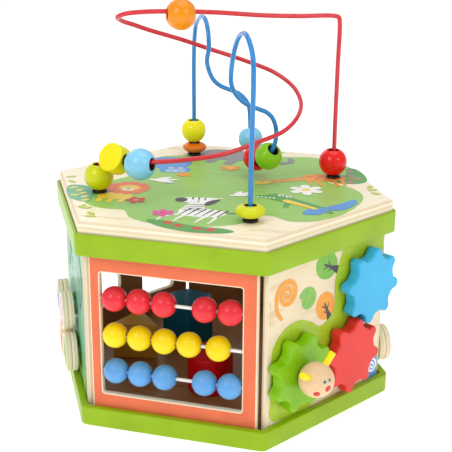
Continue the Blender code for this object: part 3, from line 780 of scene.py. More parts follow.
def topShapes():
    made = []
    meadow = [
        (-97, -97), (-78, -105), (-60, -104), (-53, -112), (-45, -123), (-22, -133), (8, -132), (38, -122),
        (54, -108), (62, -86), (74, -82), (92, -92), (114, -84), (132, -60), (142, -22), (139, 8), (122, 29),
        (100, 38), (118, 43), (132, 54), (122, 84), (99, 112), (67, 127), (37, 121), (0, 121), (-29, 131),
        (-52, 119), (-66, 96), (-88, 84), (-94, 52), (-86, 24), (-97, -4), (-114, -34), (-120, -70),
    ]
    made.append((inks["meadow"], flow(meadow), 0))
    bush = [(-138, -46), (-124, -42), (-111, -52), (-100, -78), (-99, -92), (-118, -86), (-132, -66)]
    made.append((inks["teal"], flow(bush), 1))
    for x, y, turn in (
        (-131, -52, 40), (-122, -58, 60), (-115, -66, 45), (-109, -76, 60), (-104, -86, 50), (-120, -74, 30),
    ):
        made.append((inks["yellow"], oval(x, y, 4.2, 2.4, turn), 2))
    thicket = [(104, 40), (124, 40), (136, 52), (130, 76), (117, 96), (108, 92), (112, 70), (104, 54)]
    made.append((inks["deepGreen"], flow(thicket), 1))
    for x, y in ((114, 84), (126, 60), (121, 46), (118, 68)):
        made.append((inks["pink"], oval(x, y, 3.2, 2.6), 2))
    verge = [(-30, -124), (-14, -121), (16, -128), (42, -128), (53, -134), (40, -142), (14, -145), (-14, -138)]
    made.append((inks["deepGreen"], flow(verge), 1))
    for x, y in ((-9, -126), (2, -131), (20, -134), (32, -134)):
        made.append((inks["red"], oval(x, y, 4.4, 4.0), 2))
    made += moved(stripedPony(), 10, -91, 3, 0.98)
    made += moved(manedCat(), -80, -38, 8, 0.86)
    made += moved(riverHorse(), -73, 57, 10, 1.0)
    made += moved(longNosed(), -16, 108, -6, 1.15)
    made += moved(longNeck(), 74, 48, 12, 0.92)
    made += moved(longJaw(), 82, -36, -14, 0.86)
    puddle = [(98, -68), (112, -66), (120, -52), (132, -44), (139, -22), (134, -12), (126, -26), (112, -44)]
    made.append((inks["blue"], flow([*puddle, (100, -54)]), 1))
    made += daisy(85, 6, 17)
    made += daisy(-22, -102, 11, "pink", "red", 6)
    made += daisy(-59, -73, 10, "red", "orange", 5)
    made += daisy(-6, 60, 11, "orange", "yellow", 6)
    made += daisy(-44, 22, 8, "orange", "coral", 5)
    made += glider(-58, -6, 1.15, -12)
    made += glider(30, -30, 0.9, 20)
    for x, y, turn in (
        (-149, -18, 30), (-141, -33, -30), (-93, -108, 20), (-99, -104, 80), (-83, -122, -30), (-80, -130, 10),
        (146, 25, 40), (151, 14, -20), (142, 34, 80), (10, 138, 0), (28, 136, 40), (-120, 60, 60), (-114, 72, 10),
    ):
        made.append((inks["leaf"], oval(x, y, 5.2, 2.6, turn), 1))
    return made


def tree(crown, x, y, wide, tall, turn):
    foot, fork = -tall - 4, -tall * 0.4
    trunk = [(-3.2, foot), (-1.4, fork), (-0.8, 3), (0.8, 3), (1.6, fork), (4.2, foot)]
    shapes = [
        (crown, oval(0, 0, wide, tall), 1),
        (inks["dark"], flow(trunk), 2),
        (inks["dark"], stroke([(0, -3), (-4.5, 3)], 1.6, 0.9), 2),
        (inks["dark"], stroke([(0.3, -5), (4.6, 0)], 1.6, 0.9), 2),
        (inks["dark"], stroke([(-0.2, -8), (-4.2, -4)], 1.5, 0.9), 2),
    ]
    return moved(shapes, x, y, turn)


def gearShapes():
    lime = inks["lime"]
    blob = [
        (-70, 22), (-73, 44), (-73, 76), (-70, 94), (-56, 107), (-38, 110), (-22, 104), (-10, 96), (2, 100), (10, 110),
        (9, 124), (10, 138), (15, 152), (28, 170), (80, 172), (80, 120), (62, 92), (50, 80), (34, 60), (22, 44),
        (4, 36), (-10, 24), (-30, 18),
    ]
    made = tree("#7DBB45", -3, 153, 13, 15, 62)
    made += tree(inks["orange"], -3, 114, 12.5, 14, 24)
    made.append((lime, flow(blob), 3))
    made.append((inks["orange"], curl(-54, 139, 1.5, 13.5, 2.0, 180, 4.4), 1))
    made.append((inks["orange"], stroke([(-67.5, 139), (-67, 127), (-61, 118)], 4.8, 3.6), 1))
    made.append((inks["leafGreen"], curl(-27, 127, 1.2, 10.5, 2.0, 150, 4.0), 1))
    pond = [(58, 34), (64, 42), (74, 44), (90, 40), (92, 14), (60, 13), (57, 22)]
    made.append((inks["blue"], flow(pond), 1))
    made.append((inks["white"], curl(69, 30, 1.0, 8.0, 1.9, 180, 1.8), 2))
    return made


def hillShapes(hill, far, crowns, dots, curls):
    # a low meadow with trees, fruit and curls
    ridge = [(-90, 10), (-90, 62), (-60, 78), (-30, 66), (0, 74), (34, 88), (66, 76), (92, 86), (92, 10)]
    slope = [(-90, 8), (-90, 40), (-58, 50), (-26, 36), (6, 44), (40, 32), (70, 44), (92, 36), (92, 8)]
    made = [(far, flow(ridge), 0), (hill, flow(slope), 1)]
    for code, x, y, wide, tall, turn in crowns:
        made += moved(tree(code, 0, 0, wide, tall, turn), x, y, 0, 1, 1)
    for code, x, y, radius in dots:
        made.append((code, oval(x, y, radius), 2))
    for code, x, y, radius, wide in curls:
        made.append((code, curl(x, y, 1.2, radius, 2.0, 40, wide), 2))
    return made


def discSideShapes():
    teal = inks["teal"]
    made = [(teal, rectangle(-78, 78, 12, 182), 0)]
    made[0] = (teal, [Vector(p) for p in made[0][1]], 0)
    bank = [(-90, 8), (-90, 56), (-60, 66), (-20, 50), (20, 58), (60, 46), (92, 60), (92, 8)]
    made.append((inks["deepGreen"], flow(bank), 1))
    for k in range(26):
        x = -70 + (k * 47) % 141
        y = 96 + (k * 29) % 68
        made.append((inks["brown"] if k % 3 else inks["leaf"], oval(x, y, 3.4, 1.8, 37 * k), 2))
    for x in (-56, -20, 22, 58):
        made.append((inks["leaf"], oval(x, 26, 5, 9, x / 3), 2))
    made += moved(tree("#3F9B78", 0, 0, 20, 24, 0), 44, 128, 0, 1, 2)
    made += moved(tree("#4FAE6C", 0, 0, 17, 20, 0), -48, 134, 0, 1, 2)
    return made


def dotted(corners, gap, code, size):
    # dots along a closed line of corners
    made = []
    for (x0, y0), (x1, y1) in zip(corners, corners[1:] + corners[:1]):
        count = max(1, round(math.hypot(x1 - x0, y1 - y0) / gap))
        for k in range(count):
            made.append((code, oval(x0 + (x1 - x0) * k / count, y0 + (y1 - y0) * k / count, size), 1))
    return made


def sorterShapes():
    # a border of dots round each hole, over a low meadow
    low = [(-90, 8), (-90, 24), (-50, 28), (-10, 22), (30, 29), (64, 23), (92, 28), (92, 8)]
    made = [(inks["lime"], flow(low), 0)]
    ring = [(41 + 28 * math.cos(math.tau * k / 20), 60 + 28 * math.sin(math.tau * k / 20)) for k in range(20)]
    made += dotted(ring, 20, inks["red"], 1.7)
    made += dotted([(-63, 30), (-8, 30), (-8, 84.5), (-63, 84.5)], 9, inks["orange"], 1.7)
    made += dotted([(-70, 98), (-4, 98), (-37, 156)], 9.5, inks["leafGreen"], 1.7)
    six = [(40 + 36 * math.cos(math.radians(60 * k)), 125 + 36 * math.sin(math.radians(60 * k))) for k in range(6)]
    return made + dotted(six, 9, inks["blue"], 1.7)


def backShapes():
    low = [(-90, 8), (-90, 44), (-60, 48), (-26, 38), (6, 44), (40, 36), (66, 46), (92, 42), (92, 8)]
    made = tree(inks["leafGreen"], -62, 84, 10.5, 13, 0)
    made += tree(inks["orange"], 62, 80, 10, 12, 0)
    made.append((inks["lime"], flow(low), 3))
    for x in (-62, 0, 62):
        made.append((inks["blue"], curl(x, 148, 1.2, 9, 2.0, 40, 2.6), 1))
    made += daisy(-30, 26, 8, "white", "yellow", 6)
    made += daisy(34, 24, 8, "white", "red", 6)
    return made


sideWindow = (-panel["half"] / mm + 0.9, panel["half"] / mm - 0.9, panel["bottom"] / mm + 0.9, panel["top"] / mm - 0.9)


# the case

caseMaterials = {
    "plyFace": birch("plyFace", "#FAEED3", "#EFDBB6", "#D6B98F"),
    "plyPlain": birch("plyPlain", "#EFDDBB", "#E2C9A0", "#C7A67C"),
    # inside faces of the case: the cream birch darkened to brown, as painted shade inside the case
    "plyInside": birch("plyInside", "#B58A5C", "#96683D", "#6E4826"),
    "topEdge": plyEdge("topEdge", 0.0048, 0.35),
    "panelEdge": plyEdge("panelEdge", 0.0030, 0.0),
    "discEdge": plyEdge("discEdge", 0.0037, 0.2),
    "lime": paint("limePaint", "#98BC00", 0.36, 0.3, 0.08),
    "coral": paint("coralPaint", "#EC7A55", 0.46, 0.2, 0.25),
}

rimPiece = {"corner": 0.1739, "fillet": 0.009, "seat": 0.1705, "step": 0.0003}


def hexRing(section, rounding):
    # closed cross-section in (apothem, height), swept round the hexagon
    outer = max(p[0] for p in section)
    outline = roundedPolygon(section, rounding, 4)
    loops = []
    for apothem, height in outline:
        fillet = max(0.0006, rimPiece["fillet"] - (outer - apothem) * 1.4)
        loops.append([(p.x, p.y, height) for p in hexagon(apothem, fillet, 10)])
    return loft(loops, closed=True)


def makeRims():
    cos30 = math.cos(math.pi / 6)
    outer = rimPiece["corner"] * cos30
    inner = panel["out"] + rimPiece["step"]
    seat = rimPiece["seat"] * cos30
    for node, ledge in (("top_rim", topPlace["low"] - rimPiece["step"]), ("tray_ring", None)):
        low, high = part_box(node)[0][2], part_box(node)[1][2]
        if ledge:
            section = [(inner, low), (outer, low), (outer, high), (seat, high), (seat, ledge), (inner, ledge)]
            rounding = [0.0008, 0.0011, 0.0011, 0.0008, 0, 0]
        else:
            section = [(inner, low), (outer, low), (outer, high), (inner, high)]
            rounding = [0.0004, 0.0011, 0.0011, 0.0008]
        bm = hexRing(section, rounding)
        finishPiece(node + "_fine", bm, Matrix.Identity(4), "case", [node], [caseMaterials["lime"]], 40)


topBoard = {"corner": 0.170, "fillet": 0.003, "topEdge": 0.0030, "lowEdge": 0.0008}


def makeTopBoard():
    apothem = topBoard["corner"] * math.cos(math.pi / 6)
    low, high = 0.0, topPlace["height"] - topPlace["low"]
    loops = []
    for k in range(5):
        angle = math.pi / 2 * k / 4
        inset = topBoard["lowEdge"] * (1 - math.sin(angle))
        loops.append((apothem - inset, low + topBoard["lowEdge"] * (1 - math.cos(angle))))
    for k in range(9):
        angle = math.pi / 2 * k / 8
        inset = topBoard["topEdge"] * (1 - math.cos(angle))
        loops.append((apothem - inset, high - topBoard["topEdge"] * (1 - math.sin(angle))))
    rows = []
    for reach, height in loops:
        outline = hexagon(reach, max(0.0008, topBoard["fillet"] - (apothem - reach)), 8)
        rows.append([(p.x, p.y, height) for p in outline])
    place = Matrix.Translation((0, 0, topPlace["low"]))
    looks = [caseMaterials["plyFace"], caseMaterials["topEdge"]]
    finishPiece("top_board_fine", loft(rows), place, "case", ["top_board"], looks, 30, faceOrEdge)
    place = Matrix.Translation((0, 0, topPlace["height"]))
    printOn("top_print", topShapes(), place, "case")


holes = {
    "window": (-0.0675, 0.0639, 0.0323, 0.1501),
    "opening": (-0.046, 0.046, 0.056, 0.132),
    "circle": (0.041, 0.060, 0.0235),
    "square": (-0.0585, -0.0130, 0.0345, 0.0800),
    "triangle": ((-0.0638, 0.102), (-0.0103, 0.102), (-0.0370, 0.1483)),
    "hexagon": (0.040, 0.125, 0.032),
    "slot": (0.063, 0.0393, 0.005),
    "disc": 0.0045,
}
discPlaces = {"a": (-0.044, 0.0745), "b": (-0.004, 0.0765), "c": (0.0145, 0.0410), "d": (-0.0258, 0.0385)}


def panelOutlines(side):
    outlines = [rectangle(-panel["half"], panel["half"], panel["bottom"], panel["top"])]
    if side == "abacus":
        outlines.append(roundedPolygon(rectangle(*holes["window"]), 0.002, 4))
    if side == "back":
        outlines.append(roundedPolygon(rectangle(*holes["opening"]), 0.012, 10))
    if side == "sorter":
        x, y, radius = holes["circle"]
        outlines.append(circle(radius, 72, (x, y)))
        outlines.append(roundedPolygon(rectangle(*holes["square"]), 0.0045, 8))
        outlines.append(roundedPolygon(holes["triangle"], 0.003, 8))
        x, y, radius = holes["hexagon"]
        outlines.append(roundedPolygon(circle(radius, 6, (x, y)), 0.003, 6))
    if side == "slot":
        reach, y, half = holes["slot"]
        outlines.append(roundedPolygon(rectangle(-reach, reach, y - half, y + half), half - 1e-5, 12))
    if side == "disc":
        outlines += [circle(holes["disc"], 32, place) for place in discPlaces.values()]
    return outlines


def makePanels():
    birchLooks = [caseMaterials["plyPlain"], caseMaterials["panelEdge"], caseMaterials["plyInside"]]
    for side in sideBearing:
        looks = list(birchLooks)
        if side == "abacus":
            looks[0] = caseMaterials["coral"]
        edge = 0.0014 if side == "abacus" else panel["edge"]
        bm = sawn(panelOutlines(side), panel["thick"], edge)

        # cut edges take slot 1; inner faces take slot 2, the birch painted in shade
        def pick(face):
            if abs(face.normal.z) < 0.995:
                return 1
            return 0 if face.normal.z > 0 else 2

        node = f"{side}_panel"
        finishPiece(node + "_fine", bm, sidePlace(side), "case", [node], looks, 30, pick)
    printOn("gear_side_print", gearShapes(), sidePlace("gear"), "case", sideWindow)
    printOn("disc_side_print", discSideShapes(), sidePlace("disc"), "case", sideWindow)
    green, lime, orange = inks["meadow"], inks["lime"], inks["orange"]
    slotShapes = hillShapes(
        green,
        lime,
        [("#7DBB45", -44, 120, 17, 19, 0), (inks["orange"], 30, 124, 14, 17, -8)],
        [(inks["red"], x, y, 2.6) for x, y in ((-50, 126), (-40, 116), (-38, 130))],
        [(inks["blue"], -6, 146, 9, 2.6), (orange, 58, 146, 10, 3)],
    )
    left, right, low, high = sideWindow
    slotLevel, reach = holes["slot"][1] / mm, holes["slot"][2] / mm + 1.4
    above, below = (left, right, slotLevel + reach, high), (left, right, low, slotLevel - reach)
    printOn("slot_side_print_above", slotShapes, sidePlace("slot"), "case", above)
    printOn("slot_side_print_below", slotShapes[:2], sidePlace("slot"), "case", below)
    printOn("back_side_print", backShapes(), sidePlace("back"), "case", sideWindow)
    printOn("sorter_side_print", sorterShapes(), sidePlace("sorter"), "case", sideWindow)


# the abacus

abacus = {
    "colours": {"red": "#EC3F49", "yellow": "#FFE200", "blue": "#69A9E6"},
    "ball": 0.0115,
    "bore": 0.0026,
    "rod": 0.0016,
    "beads": 5,
}


def ballProfile(radius, bore, flatten=1.0, lip=0.0006, arcs=28):
    # ball with a chamfered bore right through it
    reach = math.acos((bore + lip) / radius)
    made = []
    for k in range(arcs + 1):
        angle = reach * (1 - 2 * k / arcs)
        made.append((radius * math.cos(angle), radius * math.sin(angle) * flatten))
    end = made[0][1]
    made += [(bore, -end + lip), (bore, end - lip)]
    return made


# picks the faces inside the bore, which take the painted shade
def boreOrSkin(bore):
    def pick(face):
        centre = face.calc_center_median()
        return 1 if math.hypot(centre.x, centre.y) < bore * 1.04 else 0

    return pick


def makeAbacus():
    # inside of each bore: dark brown paint as painted shade down the bore
    boreWood = paint("boreWood", "#7A5230", 0.7, 0.1, 0.3)
    rodLook = paint("rodWhite", "#F4F4F2", 0.25, 0.9, 0.02)
    for colour, code in abacus["colours"].items():
        look = paint(f"{colour}Bead", code, 0.36, 0.6, 0.06)
        node = f"abacus_{colour}_rod"
        low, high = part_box(node)
        half = (high[0] - low[0]) / 2
        radius, soft = abacus["rod"], 0.0005
        profile = [(0, -half), (radius - soft, -half), (radius, -half + soft)]
        profile += [(radius, half - soft), (radius - soft, half), (0, half)]
        place = alongAxis(centreOf(node), (1, 0, 0))
        finishPiece(node + "_fine", turned(profile, 24), place, "case", [node], [rodLook])
        for number in range(1, abacus["beads"] + 1):
            node = f"abacus_{colour}_bead_{number}"
            bm = turned(ballProfile(abacus["ball"], abacus["bore"]), 48)
            place = alongAxis(centreOf(node), (1, 0, 0))
            looks = [look, boreWood]
            body = f"{colour}_bead_{number}"
            finishPiece(node + "_fine", bm, place, body, [node], looks, 30, boreOrSkin(abacus["bore"]))


# the gears and the head

gears = {
    "teeth": 8,
    "tip": 0.0361,
    "root": 0.0285,
    "sharp": 1.5,
    "narrow": -0.3,
    "thick": 0.012,
    "edge": 0.0016,
    "out": 0.002,
    "phase": {"red": 10.1, "blue": 8.4, "green": 21.4},
    "colours": {"red": "#E8403A", "blue": "#48BBEC", "green": "#86C112"},
}


def jointOf(name):
    return next(joint for joint in frame["record"]["behaviour"]["joints"] if joint["name"] == name)


def gearOutline():
    low = math.tanh(gears["sharp"] * (gears["narrow"] - 1))
    high = math.tanh(gears["sharp"] * (gears["narrow"] + 1))
    outline = []
    count = 36 * gears["teeth"]
    for k in range(count):
        angle = math.tau * k / count
        wave = math.tanh(gears["sharp"] * (gears["narrow"] + math.cos(gears["teeth"] * angle)))
        rise = (wave - low) / (high - low)
        radius = gears["root"] + (gears["tip"] - gears["root"]) * rise
        outline.append((radius * math.cos(angle), radius * math.sin(angle)))
    return outline


def onSide(side, point, out):
    # frame on a side, through a world point, at a height above the panel
    angle = math.radians(sideBearing[side])
    right = Vector((-math.sin(angle), math.cos(angle), 0))
    return sidePlace(side, Vector(point).dot(right), out, point[2])


def makeGears():
    for colour, code in gears["colours"].items():
        look = paint(f"{colour}Gear", code, 0.32, 0.35, 0.0)
        centre = jointOf(f"{colour}_gear_spin")["pos_m"]
        phase = math.radians(90 - gears["phase"][colour])
        place = onSide("gear", centre, gears["out"] + gears["thick"]) @ Matrix.Rotation(phase, 4, "Z")
        bm = sawn([gearOutline()], gears["thick"], gears["edge"])
        node = f"{colour}_gear"
        finishPiece(node + "_fine", bm, place, node, [node], [look], 50, flat=True)


head = {
    "ball": 0.016,
    "out": 0.028,
    "turn": -13.5,
    "peg": 0.0031,
    "spread": 46.5,
    "reach": 0.0285,
    "forward": 10,
    "eyes": ((-5.0, 4.6, 13.9), (0.1, 5.0, 14.5)),
    "cheeks": ((-10.9, -7.0, 10.5), (-1.8, -2.2, 14.6)),
    "eyeSize": 0.0015,
    "cheekSize": 0.0031,
}


def dot(name, direction, size, look, centre):
    # lens-shaped paint dot that follows the ball
    ball = head["ball"]
    rings = [(0, ball - 0.0006)]
    count = 6
    for k in range(count + 1):
        angle = size / ball * (1 - k / count)
        lift = 0.00012 * math.sin(math.pi / 2 * k / count) + 0.00003
        rings.append(((ball + lift) * math.sin(angle), (ball + lift) * math.cos(angle)))
    rings[-1] = (0, ball + 0.00015)
    turn = Vector(direction).normalized().to_track_quat("Z", "Y").to_matrix().to_4x4()
    finishPiece(name, turned(rings, 32), centre @ turn, "green_gear", (), [look], 60)


def makeHead():
    joint = jointOf("green_gear_spin")
    centre = onSide("gear", joint["pos_m"], head["out"])
    flat = head["out"] - gears["out"] - gears["thick"] - 0.0003
    start = math.asin(-flat / head["ball"])
    profile = [(0, -flat)]
    arcs = 40
    for k in range(arcs + 1):
        angle = start + (math.pi / 2 - start) * k / arcs
        profile.append((head["ball"] * math.cos(angle), head["ball"] * math.sin(angle)))
    profile[-1] = (0, head["ball"])
    beech = birch("beechHead", "#E9C49A", "#DDB184", "#BE8F60")
    finishPiece("animal_head_ball", turned(profile, 64), centre, "green_gear", ["animal_head"], [beech], 40)
    yellow = paint("pegYellow", "#FFE600", 0.30, 0.8, 0.05)
    radius, soft = head["peg"], 0.0007
    for side, sign in (("left", -1), ("right", 1)):
        low, high = head["ball"] * 0.6, head["reach"]
        profile = [(0, low), (radius, low)]
        for k in range(6):
            angle = math.pi / 2 * k / 5
            profile.append((radius - soft + soft * math.cos(angle), high - soft + soft * math.sin(angle)))
        profile.append((0, high))
        lean = math.radians(head["turn"] + sign * head["spread"])
        # local Z of a peg leans sideways in the plane of the side and a little outwards
        turn = Matrix.Rotation(-lean, 4, "Z") @ Matrix.Rotation(math.radians(-90 + head["forward"]), 4, "X")
        finishPiece(f"{side}_peg", turned(profile, 32), centre @ turn, "green_gear", (), [yellow], 50)
    teal, cheek = paint("eyeTeal", "#2F8F8A", 0.3, 0.8, 0.0), paint("cheekRed", "#D9433B", 0.35, 0.7, 0.0)
    for number, direction in enumerate(head["eyes"], 1):
        dot(f"eye_{number}", direction, head["eyeSize"], teal, centre)
    for number, direction in enumerate(head["cheeks"], 1):
        dot(f"cheek_{number}", direction, head["cheekSize"], cheek, centre)


# loose discs and the knob in its slot

discs = {"radius": 0.019, "neck": 0.004, "washer": 0.0095, "out": 0.003, "layer": 0.0055, "edge": 0.0009}
knob = {"radius": 0.018, "neck": 0.0047, "washer": 0.0105, "place": (-0.058, 0.0393)}


def discProfile(radius, neck, washer):
    front = discs["out"] + 2 * discs["layer"]
    middle = discs["out"] + discs["layer"]
    behind = -panel["thick"] - 0.0008
    edge, groove = discs["edge"], 0.0006
    made = [(0, behind - 0.003), (washer - 0.0004, behind - 0.003), (washer, behind - 0.0026)]
    made += [(washer, behind - 0.0004), (washer - 0.0004, behind), (neck, behind), (neck, discs["out"])]
    for low, high in ((discs["out"], middle), (middle, front)):
        if low == discs["out"]:
            made.append((radius - edge, low))
        for k in range(5):
            angle = math.pi / 2 * k / 4
            made.append((radius - edge + edge * math.sin(angle), low + edge - edge * math.cos(angle)))
        for k in range(5):
            angle = math.pi / 2 * k / 4
            made.append((radius - edge + edge * math.cos(angle), high - edge + edge * math.sin(angle)))
        if high == middle:
            made.append((radius - groove - edge, middle))
    made.append((0, front))
    return made


def discPrint(number):
    ground = ("sky", "pink", "lime", "orange")[number]
    mark = ("blue", "white", "deepGreen", "coral")[number]
    made = [(inks[ground], oval(0, 0, 15.5), 0), (inks[mark], curl(0, 0, 1.5, 10.5, 2.2, 30, 2.6), 1)]
    for k in range(8):
        angle = math.tau * k / 8
        made.append((inks["white"], oval(13 * math.cos(angle), 13 * math.sin(angle), 0.9), 1))
    return made


def makeDiscs():
    front = discs["out"] + 2 * discs["layer"]
    looks = [caseMaterials["plyFace"], caseMaterials["discEdge"]]
    for number, letter in enumerate("abcd"):
        node = f"loose_disc_{letter}"
        bm = turned(discProfile(discs["radius"], discs["neck"], discs["washer"]), 72)
        place = onSide("disc", jointOf(f"disc_{letter}_spin")["pos_m"], 0)
        finishPiece(node + "_fine", bm, place, f"disc_{letter}", [node], looks, 30, faceOrEdge)
        printOn(f"disc_print_{letter}", discPrint(number), place @ Matrix.Translation((0, 0, front)), f"disc_{letter}")
    bm = turned(discProfile(knob["radius"], knob["neck"], knob["washer"]), 72)
    place = sidePlace("slot", knob["place"][0], 0, knob["place"][1])
    finishPiece("slot_knob_fine", bm, place, "slot_knob", ["slot_knob"], looks, 30, faceOrEdge)
    shapes = [(inks["orange"], oval(0, 0, 14.5), 0)] + daisy(0, 0, 11, "white", "red", 6)
    printOn("knob_print", shapes, place @ Matrix.Translation((0, 0, front)), "slot_knob")


# the bead maze

maze = {
    "wire": 0.0022,
    "wireBore": 0.0025,
    "bore": 0.0057,
    "ring": 0.117,
    "sink": 0.010,
    "step": 0.002,
    "posts": {"right": 30, "back": 120, "left": 210, "front": 300},
    "colours": {
        "red": "#EE2A1E",
        "orange": "#F9970A",
        "sky": "#8ED3F4",
        "lime_yellow": "#DADF08",
        "deep_orange": "#F27F10",
        "yellow": "#FFF000",
        "green": "#8FCB14",
    },
}

# routes of the wires between their ends, in metres
redRoute = [
    (0.1012, 0.0585, 0.250),
    (0.1015, 0.0588, 0.310),
    (0.1018, 0.0589, 0.3500),
    (0.1008, 0.0583, 0.3550),
    (0.0965, 0.0556, 0.3566),
    (0.0677, 0.0368, 0.3575),
    (0.0377, 0.0172, 0.3593),
    (-0.0050, -0.0085, 0.3635),
    (-0.0443, -0.0267, 0.3649),
    (-0.0661, -0.0335, 0.3641),
    (-0.0800, -0.0358, 0.3622),
    (-0.0895, -0.0310, 0.3580),
    (-0.0889, -0.0179, 0.3526),
    (-0.0840, -0.0058, 0.3484),
    (-0.0754, 0.0108, 0.3418),
    (-0.0517, 0.0441, 0.3284),
    (-0.0299, 0.0659, 0.3171),
    (0.0005, 0.0834, 0.3047),
    (0.0316, 0.0876, 0.2933),
    (0.0535, 0.0790, 0.2815),
    (0.0656, 0.0610, 0.2703),
    (0.0682, 0.0371, 0.2612),
    (0.0615, 0.0101, 0.2526),
    (0.0422, -0.0230, 0.2471),
    (0.0182, -0.0484, 0.2408),
    (-0.0110, -0.0660, 0.2376),
    (-0.0414, -0.0745, 0.2352),
    (-0.0560, -0.0735, 0.2340),
    (-0.0700, -0.0690, 0.2325),
    (-0.0820, -0.0640, 0.2318),
    (-0.0930, -0.0605, 0.2298),
    (-0.0998, -0.0588, 0.2235),
]
blueRoute = [
    (-0.0585, 0.1013, 0.240),
    (-0.0585, 0.1013, 0.300),
    (-0.0570, 0.0990, 0.322),
    (-0.0535, 0.0927, 0.3355),
    (-0.0456, 0.0789, 0.3450),
    (-0.0370, 0.0640, 0.3492),
    (-0.0295, 0.0510, 0.3465),
    (-0.0245, 0.0425, 0.3360),
    (-0.0230, 0.0395, 0.3225),
    (-0.0250, 0.0400, 0.3080),
    (-0.0199, 0.0420, 0.2922),
    (-0.0128, 0.0440, 0.2852),
    (-0.0036, 0.0460, 0.2814),
    (0.0060, 0.0490, 0.2770),
    (0.0140, 0.0520, 0.2668),
    (0.0158, 0.0540, 0.2500),
    (0.0162, 0.0548, 0.2320),
    (0.0200, 0.0490, 0.2205),
    (0.0278, 0.0370, 0.2153),
    (0.0360, 0.0265, 0.2165),
    (0.0425, 0.0195, 0.2215),
    (0.0475, 0.0160, 0.2300),
    (0.0513, 0.0150, 0.2386),
    (0.0525, 0.0140, 0.2507),
    (0.0499, 0.0110, 0.2629),
    (0.0451, 0.0060, 0.2699),
    (0.0400, -0.0010, 0.2739),
    (0.0329, -0.0110, 0.2789),
    (0.0276, -0.0200, 0.2851),
    (0.0233, -0.0290, 0.2940),
    (0.0218, -0.0360, 0.3035),
    (0.0225, -0.0400, 0.3125),
    (0.0263, -0.0460, 0.3315),
    (0.0350, -0.0610, 0.3490),
    (0.0440, -0.0760, 0.3557),
    (0.0520, -0.0905, 0.3530),
    (0.0585, -0.1000, 0.3400),
    (0.0600, -0.1025, 0.3200),
    (0.0595, -0.1020, 0.290),
    (0.0587, -0.1013, 0.250),
]

# bead: colour, radius, direction of its bore, length against its width, body
mazeBeads = {
    "maze_red_bead": ("red", 0.0140, (0, 0, 1), 1.0, "red_post_bead"),
    "maze_orange_bead": ("orange", 0.0145, (-0.886, -0.461, 0.047), 1.0, "orange_bead"),
    "maze_sky_bead_left": ("sky", 0.0148, (-0.985, 0.15, -0.10), 1.0, "sky_bead_left"),
    "maze_lemon_ball": ("lime_yellow", 0.0138, (0.06, -0.02, 1), 1.0, "lemon_ball"),
    "maze_orange_disc": ("deep_orange", 0.0128, (0, 0, 1), 0.46, "orange_disc"),
    "maze_yellow_ball": ("yellow", 0.0132, (0, 0, 1), 1.0, "yellow_ball"),
    "maze_sky_bead_dip": ("sky", 0.0122, (0.17, -0.26, -0.95), 1.0, "sky_bead_dip"),
    "maze_red_bead_dip": ("red", 0.0130, (0.62, -0.78, -0.10), 1.0, "red_bead_dip"),
    "maze_green_bead": ("green", 0.0133, (0.55, -0.42, 0.72), 1.0, "green_bead"),
    "maze_lime_ring": ("lime_yellow", 0.0135, (0, 0, 1), 0.48, "lime_ring"),
}
crossBead = {
    "radius": 0.0137,
    "half": 0.0086,
    "edge": 0.0016,
    "axis": (-0.31, -0.83, 0.46),
    "bore": (-0.92, 0.36, -0.08),
}


def smoothRoute(points, step):
    # centripetal curve through the points
    points = [Vector(p) for p in points]
    ends = [2 * points[0] - points[1]] + points + [2 * points[-1] - points[-2]]
    route = [points[0]]
    for p0, p1, p2, p3 in zip(ends, ends[1:], ends[2:], ends[3:]):
        t1 = (p1 - p0).length ** 0.5
        t2 = t1 + (p2 - p1).length ** 0.5
        t3 = t2 + (p3 - p2).length ** 0.5
        count = max(1, round((p2 - p1).length / step))
        for k in range(1, count + 1):
            t = t1 + (t2 - t1) * k / count
            a1 = p0 * (t1 - t) / t1 + p1 * t / t1
            a2 = p1 * (t2 - t) / (t2 - t1) + p2 * (t - t1) / (t2 - t1)
            a3 = p2 * (t3 - t) / (t3 - t2) + p3 * (t - t2) / (t3 - t2)
            b1 = a1 * (t2 - t) / t2 + a2 * t / t2
            b2 = a2 * (t3 - t) / (t3 - t1) + a3 * (t - t1) / (t3 - t1)
            route.append(b1 * (t2 - t) / (t2 - t1) + b2 * (t - t1) / (t2 - t1))
    return route


def postPoint(post, height):
    angle = math.radians(maze["posts"][post])
    return (maze["ring"] * math.cos(angle), maze["ring"] * math.sin(angle), height)


def makeWire(node, start, finish, route, tops, look):
    foot = topPlace["height"] - maze["sink"]
    points = [postPoint(start, foot), postPoint(start, tops[0])] + route
    points += [postPoint(finish, tops[1]), postPoint(finish, foot)]
    line = smoothRoute(points, maze["step"])
    sides = 20
    loops = []
    across = Vector((1, 0, 0))
    last = len(line) - 1
    for i, place in enumerate(line):
        ahead = (line[min(i + 1, last)] - line[max(i - 1, 0)]).normalized()
        across = (across - ahead * across.dot(ahead)).normalized()
        other = ahead.cross(across)
        loop = []
        for k in range(sides):
            angle = math.tau * k / sides
            loop.append(place + (across * math.cos(angle) + other * math.sin(angle)) * maze["wire"])
        loops.append(loop)
    finishPiece(node + "_fine", loft(loops), Matrix.Identity(4), "case", [node], [look], 60)


